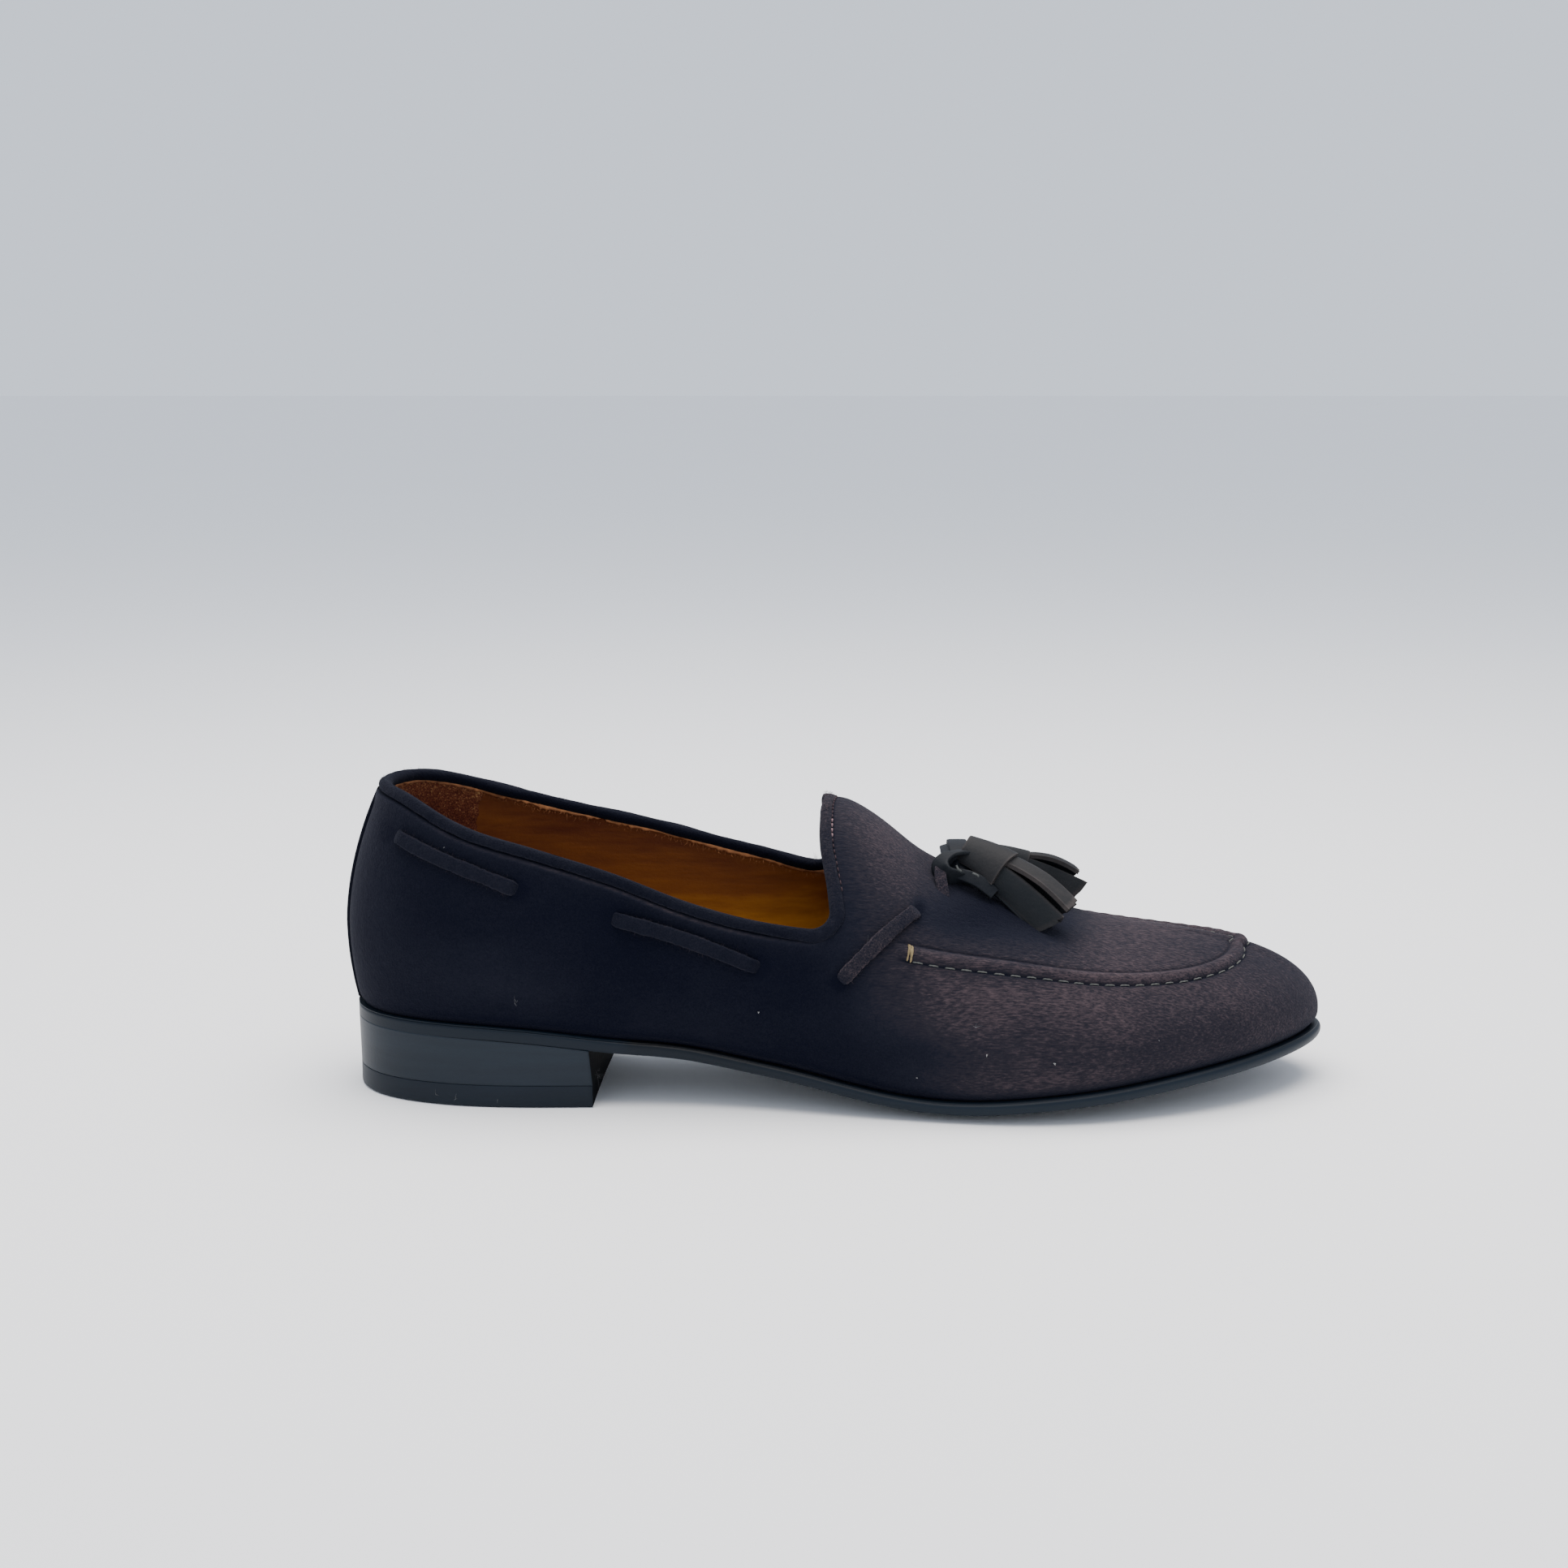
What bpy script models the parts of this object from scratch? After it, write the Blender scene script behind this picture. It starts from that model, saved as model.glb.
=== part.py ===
# Tassel loafer for the right foot, standing empty on its sole.
# X runs from heel to toe, -Y is the outer (lateral) side, +Y the inner (medial) side, Z is up.
# The model is laid out with the back of the heel at X = 0 and is centred on its own box at the end.

import math
from collections import namedtuple

import bmesh
import bpy
import numpy as np
from mathutils import Matrix, Vector

# Sizes that set the last, in metres.
LENGTH = 0.302
BALL_WIDTH = 0.099
WAIST_WIDTH = 0.0625
HEEL_WIDTH = 0.0625
TOE_WIDTH = 0.062
BACK_HEIGHT = 0.0945
INSTEP_HEIGHT = 0.0880
TOE_BOX_HEIGHT = 0.0465
HEEL_SEAT_HEIGHT = 0.0255
TOE_SPRING = 0.0105
SOLE_CROWN = 0.0035
SWELL = 0.0029

# Sizes of the pieces.
WALL = 0.0022
GAP = 0.0003
THROAT = 0.4834
THROAT_RADIUS = 0.0058
THROAT_LEAN = 0.0072
THROAT_LEAN_REACH = 0.05
SOLE_THICKNESS = 0.0040
SOLE_REACH = 0.0019
TOP_LIFT_THICKNESS = 0.0068
HEEL_LENGTH = 0.0780
BREAST_TURN = 0.050
BREAST_RAKE = 0.0010
HEEL_TAPER = 0.0003
BREAST_HOLLOW = 0.0018
INSOLE_THICKNESS = 0.0024
SEAM_HEIGHT = 0.0016
SEAM_WIDTH = 0.0050
SEAM_FADE = 0.014
SEAM_BLEND = 0.07
SEAM_START = 0.570
BINDING_THICKNESS = 0.0012
BINDING_DROP = 0.0044
BINDING_LINING_DROP = 0.0032
BACK_STRIP_TURN = 0.010
STRIP_THICKNESS = 0.0009
LACE_WIDTH = 0.0043
LACE_THICKNESS = 0.0013
LACE_GAP = 0.0004
KNOT_PLACE = 0.6090
KNOT_WIDTH = 0.0260
KNOT_OFFSET = -0.0050
KNOT_LENGTH = 0.0122
KNOT_HEIGHT = 0.0082
TASSEL_BAND = 0.0125
TASSEL_WIDTH = 0.0122
TASSEL_HEIGHT = 0.0085
TASSEL_FLARE = 0.30
TASSEL_ROLL = 0.0030
TASSEL_SHEET = 0.0013
TASSEL_STRIPS = 6
TASSEL_TAIL_ROWS = 4
TASSEL_UNEVEN = 0.0022

# How finely the solids are faceted: stations round each side, and rows up the wall.
KNEE = 0.25
HEEL_STATIONS = 8
QUARTER_STATIONS = 9
FOREPART_STATIONS = 14
TOE_STATIONS = 5
TOE_PART = 0.88
WALL_ROWS = 7
APRON_ROWS = 6
SOLE_CROSS = 8
HEEL_CROSS = 6
INSOLE_CROSS = 4

# One row for each section of the last, from the back of the heel to the tip of the toe.
# along: place of the section's foot on the feather line, as a share of LENGTH.
# width: the size that the half widths follow. lateral, medial: half widths at the feather line, as shares of it.
# spine: where the section meets the middle plane, as a share of LENGTH.
# widest: height of the widest line, as a share of the height from feather line to ridge.
# swell, reach: how far the wall and the sole's edge stand out past the feather line, as shares of
# SWELL and of SOLE_REACH.
# curve: exponent of the section's curve, 2 being an ellipse.
Section = namedtuple("Section", "along width lateral medial spine widest swell reach curve")
SECTIONS = [
    Section(0.0096, HEEL_WIDTH, 0.000, 0.000, 0.200, 0.215, 1.00, 0.42, 1.70),
    Section(0.0300, HEEL_WIDTH, 0.262, 0.262, 0.201, 0.215, 0.90, 0.42, 1.70),
    Section(0.0820, HEEL_WIDTH, 0.425, 0.422, 0.206, 0.210, 0.70, 0.45, 1.66),
    Section(0.1600, HEEL_WIDTH, 0.500, 0.498, 0.226, 0.200, 0.50, 0.50, 1.66),
    Section(0.2500, HEEL_WIDTH, 0.500, 0.480, 0.275, 0.185, 0.50, 0.55, 1.70),
    Section(0.3400, WAIST_WIDTH, 0.500, 0.440, 0.350, 0.180, 0.60, 0.75, 1.80),
    Section(0.4300, WAIST_WIDTH, 0.556, 0.450, 0.432, 0.180, 0.60, 0.90, 1.90),
    Section(0.5100, WAIST_WIDTH, 0.640, 0.545, 0.510, 0.185, 0.60, 1.00, 1.92),
    Section(0.5900, BALL_WIDTH, 0.452, 0.425, 0.588, 0.205, 0.55, 1.00, 1.92),
    Section(0.6700, BALL_WIDTH, 0.484, 0.500, 0.662, 0.235, 0.50, 1.00, 2.00),
    Section(0.7500, BALL_WIDTH, 0.466, 0.522, 0.725, 0.250, 0.42, 1.00, 2.05),
    Section(0.8300, BALL_WIDTH, 0.392, 0.478, 0.775, 0.230, 0.36, 1.00, 2.05),
    Section(0.9000, TOE_WIDTH, 0.460, 0.610, 0.806, 0.190, 0.32, 1.00, 2.05),
    Section(0.9560, TOE_WIDTH, 0.240, 0.420, 0.826, 0.160, 0.30, 1.00, 2.02),
    Section(0.9865, TOE_WIDTH, 0.040, 0.230, 0.835, 0.145, 0.30, 1.00, 2.00),
    Section(0.9937, TOE_WIDTH, -0.092, 0.092, 0.838, 0.140, 0.30, 1.00, 2.00),
]

# Underside of the sole's edge, as (along, seat, spring): shares of LENGTH, HEEL_SEAT_HEIGHT and TOE_SPRING.
SOLE_LINE = [
    (0.000, 0.863, 0.000),
    (0.100, 0.843, 0.000),
    (0.200, 0.768, 0.000),
    (0.278, 0.655, 0.000),
    (0.340, 0.590, 0.000),
    (0.400, 0.470, 0.000),
    (0.463, 0.325, 0.030),
    (0.530, 0.150, 0.070),
    (0.600, 0.055, 0.090),
    (0.680, 0.030, 0.270),
    (0.780, 0.000, 0.610),
    (0.880, 0.000, 0.940),
    (1.000, 0.000, 1.250),
]

# How strongly the sole is rounded across, as a share of SOLE_CROWN. along: share of LENGTH.
CROWN_LINE = [
    (0.00, 0.00),
    (0.26, 0.00),
    (0.36, 0.45),
    (0.50, 0.80),
    (0.60, 1.00),
    (0.72, 0.95),
    (0.85, 0.60),
    (1.00, 0.00),
]

# Centre of the ridge, as a share of BALL_WIDTH towards the medial side. along: share of LENGTH.
SPINE_LINE = [
    (0.00, 0.000),
    (0.25, 0.000),
    (0.50, 0.035),
    (0.68, 0.060),
    (0.84, 0.055),
    (1.00, 0.050),
]

# Height of the ridge: TOE_BOX_HEIGHT at 0 and INSTEP_HEIGHT at 1. Behind the tongue it is imaginary, and
# shapes the walls.
RIDGE_LINE = [
    (0.000, 2.28),
    (0.200, 2.20),
    (0.290, 1.95),
    (0.365, 1.60),
    (0.430, 1.25),
    (0.470, 1.06),
    (0.490, 1.012),
    (0.506, 0.992),
    (0.521, 0.942),
    (0.537, 0.866),
    (0.551, 0.787),
    (0.565, 0.700),
    (0.580, 0.612),
    (0.600, 0.522),
    (0.636, 0.400),
    (0.680, 0.265),
    (0.712, 0.175),
    (0.745, 0.100),
    (0.778, 0.048),
    (0.811, 0.018),
    (0.838, 0.000),
]

# Edge of the wall at the collar, as (along, lateral height, medial height): shares of LENGTH and BACK_HEIGHT.
TOPLINE = [
    (0.0096, 1.000, 1.000),
    (0.0300, 0.993, 0.998),
    (0.0820, 0.936, 0.970),
    (0.1300, 0.880, 0.930),
    (0.1800, 0.838, 0.890),
    (0.2300, 0.792, 0.855),
    (0.2800, 0.740, 0.824),
    (0.3300, 0.678, 0.788),
    (0.3800, 0.628, 0.746),
    (0.4300, 0.596, 0.705),
    (0.4640, 0.586, 0.675),
    (0.4900, 0.585, 0.665),
]

# Crest of the raised apron seam, on the lateral and medial sides, as shares of TOE_BOX_HEIGHT.
SEAM = [
    (0.4900, 1.120, 1.300),
    (0.5400, 1.090, 1.220),
    (0.5900, 1.030, 1.120),
    (0.6700, 0.963, 1.020),
    (0.7500, 0.892, 0.945),
    (0.8300, 0.856, 0.900),
    (0.9000, 0.864, 0.887),
    (0.9560, 0.893, 0.905),
    (0.9865, 0.927, 0.932),
    (0.9937, 0.938, 0.938),
]

# Visible stretches of the lace. along: share of LENGTH. low, high: shares of BACK_HEIGHT, on the two sides.
# name, then along, lateral height and medial height of the start and of the end.
LACES = [
    ("rear_lace", 0.048, 0.862, 0.885, 0.182, 0.706, 0.760),
    ("front_lace", 0.274, 0.618, 0.700, 0.419, 0.466, 0.575),
    ("cross_lace", 0.498, 0.442, 0.500, 0.576, 0.634, 0.700),
]

# Each tassel's axis from the knot to the tips, as X (a share of LENGTH), distance from the ridge line and
# height over the vamp, then its roll in degrees.
TASSEL_PLACES = [
    ((0.6420, -0.0077, 0.0070), (0.7170, -0.0236, 0.0048), 22),
    ((0.6310, 0.0036, 0.0058), (0.7420, 0.0090, 0.0060), 38),
]


class SmoothLine:
    # A cubic spline through rows of numbers, closed on itself or with free ends.
    def __init__(self, knots, values, closed=False):
        self.knots = np.array(knots, float)
        self.values = np.array(values, float)
        self.closed = closed
        steps = np.diff(self.knots)
        count = len(self.values) - 1
        matrix = np.zeros((count + 1, count + 1))
        target = np.zeros((count + 1,) + self.values.shape[1:])
        for i in range(1, count):
            matrix[i, i - 1 : i + 2] = steps[i - 1], 2 * (steps[i - 1] + steps[i]), steps[i]
            rise = (self.values[i + 1] - self.values[i]) / steps[i]
            target[i] = 6 * (rise - (self.values[i] - self.values[i - 1]) / steps[i - 1])
        if closed:
            matrix[0, 0], matrix[0, count] = 1, -1
            matrix[count, [0, 1]] = 2 * steps[0], steps[0]
            matrix[count, [count, count - 1]] += 2 * steps[-1], steps[-1]
            rise = (self.values[1] - self.values[0]) / steps[0]
            target[count] = 6 * (rise - (self.values[count] - self.values[count - 1]) / steps[-1])
        else:
            matrix[0, 0] = matrix[count, count] = 1
        self.bends = np.linalg.solve(matrix, target)

    def __call__(self, at):
        span = self.knots[-1] - self.knots[0]
        if self.closed:
            at = self.knots[0] + (at - self.knots[0]) % span
        at = min(max(at, self.knots[0]), self.knots[-1])
        i = min(int(np.searchsorted(self.knots, at, side="right")) - 1, len(self.knots) - 2)
        step = self.knots[i + 1] - self.knots[i]
        a = (self.knots[i + 1] - at) / step
        b = 1 - a
        bend = (a**3 - a) * self.bends[i] + (b**3 - b) * self.bends[i + 1]
        return a * self.values[i] + b * self.values[i + 1] + bend * step * step / 6


def line_through(rows, scale):
    # Rows of (along, share): a height or a place against X.
    return SmoothLine([row[0] * LENGTH for row in rows], [row[1] * scale for row in rows])


def last_lines():
    # The closed loop of sections: lateral side from heel to toe, then the medial side back.
    def row(section, side):
        half = section.lateral if side < 0 else section.medial
        return [
            section.along * LENGTH,
            side * half * section.width,
            section.spine * LENGTH,
            section.widest,
            section.swell * SWELL,
            section.reach * SOLE_REACH,
            section.curve,
        ]

    lateral = [row(section, -1) for section in SECTIONS]
    medial = [row(section, 1) for section in SECTIONS]
    steps = []
    for near, far in zip(range(len(SECTIONS) - 1), range(1, len(SECTIONS))):
        lengths = [math.dist(side[near][:2], side[far][:2]) for side in (lateral, medial)]
        steps.append(sum(lengths) / 2)
    half = np.concatenate([[0], np.cumsum(steps)])
    half /= half[-1]
    knots = np.concatenate([half, 2 - half[-2::-1]])
    return SmoothLine(knots, lateral + medial[-2::-1], closed=True)


LAST = last_lines()
SPINE = line_through(SPINE_LINE, BALL_WIDTH)
CROWN = line_through(CROWN_LINE, SOLE_CROWN)
SOLE_EDGE = SmoothLine(
    [row[0] * LENGTH for row in SOLE_LINE],
    [row[1] * HEEL_SEAT_HEIGHT + row[2] * TOE_SPRING for row in SOLE_LINE],
)
RIDGE = SmoothLine(
    [row[0] * LENGTH for row in RIDGE_LINE],
    [TOE_BOX_HEIGHT + row[1] * (INSTEP_HEIGHT - TOE_BOX_HEIGHT) for row in RIDGE_LINE],
)


def place_on(lines, wanted, column=0):
    # The turn at which a steadily growing column of the last's lines reaches a wanted value.
    low, high = 0.0, 1.0
    for _ in range(40):
        middle = (low + high) / 2
        if lines(middle)[column] < wanted:
            low = middle
        else:
            high = middle
    return (low + high) / 2


THROAT_TURN = place_on(LAST, THROAT * LENGTH, column=2)


def section_frame(turn):
    # What a section needs. turn: 0 to 1 along the lateral side, then 1 to 2 back along the medial side.
    foot_x, foot_y, spine_x, widest, swell, _, curve = LAST(turn)
    spine = np.array([spine_x, SPINE(spine_x)])
    out = np.array([foot_x, foot_y]) - spine
    span = np.linalg.norm(out)
    low = SOLE_EDGE(foot_x) + SOLE_THICKNESS + GAP
    top = RIDGE(spine_x)
    belly = low + widest * (top - low)
    return spine, out / span, span + swell, swell, low, belly, top, curve


def last_point(turn, rise):
    # Point of the outer surface. rise: 0 at the feather line, KNEE at the widest line, 1 on the ridge.
    spine, out, reach, swell, low, belly, top, curve = section_frame(turn)
    if rise < KNEE:
        part = rise / KNEE
        away = reach - swell * (1 - part) ** 2
        height = low + (belly - low) * part
    else:
        angle = (rise - KNEE) / (1 - KNEE) * math.pi / 2
        away = reach * max(math.cos(angle), 0.0) ** (2 / curve)
        height = belly + (top - belly) * math.sin(angle) ** (2 / curve)
        slope = (RIDGE(spine[0] + 0.001) - RIDGE(spine[0] - 0.001)) / 0.002
        if turn_side(turn) > THROAT_TURN:
            height += slope * out[0] * away * (1 - (away / reach) ** 2)
    plan = spine + out * away
    return np.array([plan[0], plan[1], height])


def turn_side(turn):
    # How far a turn is from the back of the heel, whichever side it is on.
    turn %= 2
    return min(turn, 2 - turn)


def last_normal(turn, rise):
    if rise > 0.999:
        spine_x = LAST(turn)[2]
        slope = (RIDGE(spine_x + 0.001) - RIDGE(spine_x - 0.001)) / 0.002
        normal = np.array([-slope, 0.0, 1.0])
        return normal / np.linalg.norm(normal)
    step = 0.004
    low_rise, high_rise = max(rise - step, 0.0), min(rise + step, 1.0)
    climb = last_point(turn, high_rise) - last_point(turn, low_rise)
    along = last_point(turn + step, rise) - last_point(turn - step, rise)
    normal = np.cross(along, climb)
    if rise == 0:
        normal[2] = 0
    return normal / np.linalg.norm(normal)


def rise_at(turn, height):
    low, high = 0.0, 1.0
    for _ in range(36):
        middle = (low + high) / 2
        if last_point(turn, middle)[2] < height:
            low = middle
        else:
            high = middle
    return (low + high) / 2


def slide(turn, rise, direction, distance):
    # Place on the surface that lies a distance away in a direction, as turn and rise.
    step = 0.002
    along = (last_point(turn + step, rise) - last_point(turn - step, rise)) / (2 * step)
    if rise > 0.999:
        return turn + np.dot(along, direction) / np.dot(along, along) * distance, rise
    climb = (last_point(turn, rise + step) - last_point(turn, rise - step)) / (2 * step)
    moves = np.linalg.lstsq(np.array([along, climb]).T, direction * distance, rcond=None)[0]
    turn, rise = turn + moves[0], rise + moves[1]
    return (turn, rise) if rise <= 1 else (2 - turn, 2 - rise)


def side_line(rows, scale, column):
    return SmoothLine([row[0] * LENGTH for row in rows], [row[column] * scale for row in rows])


TOPLINE_SIDES = [side_line(TOPLINE, BACK_HEIGHT, column) for column in (1, 2)]
SEAM_SIDES = [side_line(SEAM, TOE_BOX_HEIGHT, column) for column in (1, 2)]


def edge_height(turn):
    # Height of the leather's edge at the collar, turning up into the tongue at the throat.
    side = 0 if turn % 2 <= 1 else 1
    foot_x, spine_x = LAST(turn)[0], LAST(turn)[2]
    height = TOPLINE_SIDES[side](foot_x)
    into = min(max(spine_x - (THROAT * LENGTH - THROAT_RADIUS), 0), THROAT_RADIUS)
    return height + THROAT_RADIUS - math.sqrt(THROAT_RADIUS**2 - into**2)


def seam_height(turn):
    # Height of the apron seam, starting at the top of the throat's corner.
    side = 0 if turn % 2 <= 1 else 1
    near_throat = turn_side(turn) - THROAT_TURN
    height = SEAM_SIDES[side](LAST(turn)[0])
    corner = edge_height(THROAT_TURN if side == 0 else 2 - THROAT_TURN)
    blend = min(max(near_throat / SEAM_BLEND, 0), 1)
    blend = blend * blend * (3 - 2 * blend)
    return corner + (height - corner) * blend


def leaned(turn, rise, crest):
    # The turn moved forward near the foot of the tongue, so that the tongue's edge leans.
    near = max(1 - abs(turn_side(turn) - THROAT_TURN) / THROAT_LEAN_REACH, 0) ** 2
    climbed = min(max((rise - crest) / max(1 - crest, 1e-6), 0), 1)
    move = THROAT_LEAN * near * (1 - climbed) ** 1.5
    return turn + move if turn % 2 <= 1 else turn - move


def seam_lift(turn, rise, crest):
    # How far the raised seam stands out from the wall.
    grown = min(max((LAST(turn)[0] / LENGTH - SEAM_START) / SEAM_FADE + 0.5, 0), 1)
    away = np.linalg.norm(last_point(turn, rise) - last_point(turn, crest)) / (SEAM_WIDTH / 2)
    return SEAM_HEIGHT * grown * max(1 - away * away, 0) ** 2


def outline_point(turn, offset, height):
    # Point beside the feather line, offset outwards in plan.
    step = 0.002
    here = LAST(turn)
    along = LAST(turn + step)[:2] - LAST(turn - step)[:2]
    out = np.array([along[1], -along[0]]) / np.linalg.norm(along)
    plan = here[:2] + out * offset
    return np.array([plan[0], plan[1], height])


def vamp_height(x, y):
    # Height of the outer surface over a place on the forepart.
    side = -1 if y < SPINE(x) else 1
    low, high = THROAT_TURN, 1.0
    for _ in range(30):
        middle = (low + high) / 2
        spine, out = section_frame(middle if side < 0 else 2 - middle)[:2]
        ahead = (out[0] * (y - spine[1]) - out[1] * (x - spine[0])) * -side
        if ahead > 0:
            low = middle
        else:
            high = middle
    turn = middle if side < 0 else 2 - middle
    spine, out, reach, _, _, belly, top, curve = section_frame(turn)
    away = min(math.dist((x, y), spine), reach)
    share = (1 - (away / reach) ** curve) ** (1 / curve)
    slope = (RIDGE(spine[0] + 0.001) - RIDGE(spine[0] - 0.001)) / 0.002
    return belly + (top - belly) * share + slope * out[0] * away * (1 - (away / reach) ** 2)


def stations():
    # Turns of the lateral side's sections, closer together round the heel, the throat's corner and the toe.
    heel_end = place_on(LAST, 0.16 * LENGTH)
    corner = THROAT * LENGTH - THROAT_RADIUS
    turns = [heel_end * i / HEEL_STATIONS for i in range(HEEL_STATIONS)]
    corner_turn = place_on(LAST, corner, column=2)
    turns += [heel_end + (corner_turn - heel_end) * i / QUARTER_STATIONS for i in range(QUARTER_STATIONS)]
    for angle in (0, 30, 60):
        wanted = corner + THROAT_RADIUS * math.sin(math.radians(angle))
        turns.append(place_on(LAST, wanted, column=2))
    steps = [TOE_PART * i / FOREPART_STATIONS for i in range(FOREPART_STATIONS)]
    steps.insert(1, steps[1] / 2)
    steps += [TOE_PART + (1 - TOE_PART) * i / TOE_STATIONS for i in range(TOE_STATIONS + 1)]
    turns += [THROAT_TURN + (1 - THROAT_TURN) * step for step in steps]
    return turns


def solid_between(name, front, back, faces, look, smooth=True):
    # Closes two matching skins of points into one solid.
    merged, number = {}, []
    for pair in zip(front, back):
        key = tuple(round(float(value), 7) for point in pair for value in point)
        number.append(merged.setdefault(key, len(merged)))
    points = [key[:3] for key in merged] + [key[3:] for key in merged]
    count = len(merged)
    skin = []
    for face in faces:
        corners = [number[corner] for corner in face]
        corners = [corner for i, corner in enumerate(corners) if corner != corners[i - 1]]
        if len(corners) > 2:
            skin.append(corners)
    edges = {edge for face in skin for edge in zip(face, face[1:] + face[:1])}
    closed = [tuple(face) for face in skin]
    closed += [tuple(corner + count for corner in reversed(face)) for face in skin]
    closed += [(b, a, a + count, b + count) for a, b in sorted(edges) if (b, a) not in edges]
    mesh = bpy.data.meshes.new(name)
    mesh.from_pydata(points, [], closed)
    tidy = bmesh.new()
    tidy.from_mesh(mesh)
    bmesh.ops.triangulate(tidy, faces=[face for face in tidy.faces if len(face.verts) > 3])
    bmesh.ops.recalc_face_normals(tidy, faces=tidy.faces)
    tidy.to_mesh(mesh)
    tidy.free()
    body = bpy.data.objects.new(name, mesh)
    COLLECTION.objects.link(body)
    mesh.materials.append(look)
    for face in mesh.polygons:
        face.use_smooth = smooth
    return body


def make_look(name, colour, roughness, coat=0.0):
    look = bpy.data.materials.new(name)
    look.use_nodes = True
    shader = look.node_tree.nodes["Principled BSDF"]
    shader.inputs["Base Color"].default_value = (*colour, 1.0)
    shader.inputs["Roughness"].default_value = roughness
    shader.inputs["Coat Weight"].default_value = coat
    return look


def upper_columns():
    # Every section of the upper in order round the shoe, as turn and list of rises.
    lateral = stations()
    turns = lateral + [2 - turn for turn in reversed(lateral[1:-1])]
    columns = []
    for turn in turns:
        forepart = turn_side(turn) > THROAT_TURN - 1e-6
        height = seam_height(turn) if forepart else edge_height(turn)
        crest = rise_at(turn, height)
        reach = np.linalg.norm(last_point(turn, crest + 0.005) - last_point(turn, crest - 0.005)) / 0.01
        half = SEAM_WIDTH / 2 / reach
        below = [(crest - half) * (i / WALL_ROWS) for i in range(WALL_ROWS + 1)]
        rises = below + [crest - half * 0.6, crest - half * 0.25, crest]
        if forepart:
            above = crest + half
            rises += [crest + half * 0.25, crest + half * 0.6]
            rises += [above + (1 - above) * (i / APRON_ROWS) ** 0.9 for i in range(APRON_ROWS + 1)]
        columns.append((turn, rises, crest))
    return columns


def upper_grid():
    # Points, inner points, faces, and the loop of vertices round the collar and the tongue's edge.
    columns = upper_columns()
    outer, inner, index = [], [], []
    shared = {}
    for turn, rises, crest in columns:
        numbers = []
        for rise in rises:
            key = (round(turn_side(turn), 7), "ridge") if rise > 0.9999 else None
            if key in shared:
                numbers.append(shared[key])
                continue
            real_turn = leaned(turn, rise, crest)
            point, normal = last_point(real_turn, rise), last_normal(real_turn, rise)
            lift = seam_lift(turn, rise, crest)
            outer.append(point + normal * lift)
            inner.append(point - normal * WALL)
            numbers.append(len(outer) - 1)
            if key:
                shared[key] = numbers[-1]
        index.append(numbers)
    faces = []
    for near, far in zip(index, index[1:] + index[:1]):
        for row in range(min(len(near), len(far)) - 1):
            corners = [near[row], far[row], far[row + 1], near[row + 1]]
            face = [corner for i, corner in enumerate(corners) if corner != corners[i - 1]]
            faces.append(face)
    throat = next(i for i, column in enumerate(columns) if column[0] > THROAT_TURN - 1e-6)
    crest_row = WALL_ROWS + 3
    lateral = [(columns[i][0], columns[i][1][-1]) for i in range(throat)]
    tongue = [(columns[throat][0], rise) for rise in columns[throat][1][crest_row:]]
    far_rises = columns[-throat][1][crest_row:-1]
    far_side = [(columns[-throat][0], rise) for rise in reversed(far_rises)]
    medial = [(2 - turn, columns[-i][1][-1]) for i, (turn, _) in enumerate(lateral)][:0:-1]
    crests = (columns[throat][2], columns[-throat][2])
    path = []
    for turn, rise in lateral + tongue + far_side + medial:
        at_tongue = turn_side(turn) > THROAT_TURN - 1e-6
        crest = crests[0 if turn % 2 <= 1 else 1] if at_tongue else rise
        path.append((leaned(turn, rise, crest), rise))
    return outer, inner, faces, path


def upper(grid):
    outer, inner, faces, _ = grid
    return solid_between("upper", outer, inner, faces, SUEDE)


def collar_binding(grid):
    # Folded strip over the leather's edge: outside, over the top and a little way down the lining.
    path = grid[3]
    points = np.array([last_point(turn, rise) for turn, rise in path])
    normals = np.array([last_normal(turn, rise) for turn, rise in path])
    along = np.roll(points, -1, axis=0) - np.roll(points, 1, axis=0)
    into = np.cross(normals, along)
    into /= np.linalg.norm(into, axis=1)[:, None]
    into *= np.sign(into[0][2])
    thick, inside = BINDING_THICKNESS, -WALL - GAP
    outer_legs = [
        (-BINDING_DROP, GAP + thick * 0.35),
        (-BINDING_DROP * 0.86, GAP + thick * 0.9),
        (-BINDING_DROP * 0.25, GAP + thick * 1.05),
        (GAP + thick * 0.75, -WALL * 0.1),
        (GAP + thick * 0.8, -WALL * 0.9),
        (-BINDING_LINING_DROP * 0.3, inside - thick * 0.7),
        (-BINDING_LINING_DROP, inside - thick * 0.3),
    ]
    inner_legs = [
        (-BINDING_DROP, GAP),
        (-BINDING_DROP * 0.86, GAP),
        (-BINDING_DROP * 0.25, GAP),
        (GAP, GAP * 0.2),
        (GAP, -WALL - GAP * 0.2),
        (-BINDING_LINING_DROP * 0.3, inside),
        (-BINDING_LINING_DROP, inside),
    ]
    front, back = [], []
    for i, (turn, rise) in enumerate(path):
        for skin, legs in ((front, outer_legs), (back, inner_legs)):
            for step, lift in legs:
                if step > 0:
                    skin.append(points[i] + into[i] * step + normals[i] * lift)
                    continue
                spot = slide(turn, rise, into[i], step)
                skin.append(last_point(*spot) + last_normal(*spot) * lift)
    rows, count = len(outer_legs), len(path)
    faces = []
    for i in range(count):
        after = (i + 1) % count
        for row in range(rows - 1):
            faces.append([i * rows + row, after * rows + row, after * rows + row + 1, i * rows + row + 1])
    return solid_between("collar_binding", front, back, faces, BINDING)


def strip_faces(rows, columns):
    faces = []
    for row in range(rows - 1):
        for column in range(columns - 1):
            start = row * columns + column
            faces.append([start, start + 1, start + columns + 1, start + columns])
    return faces


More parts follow.
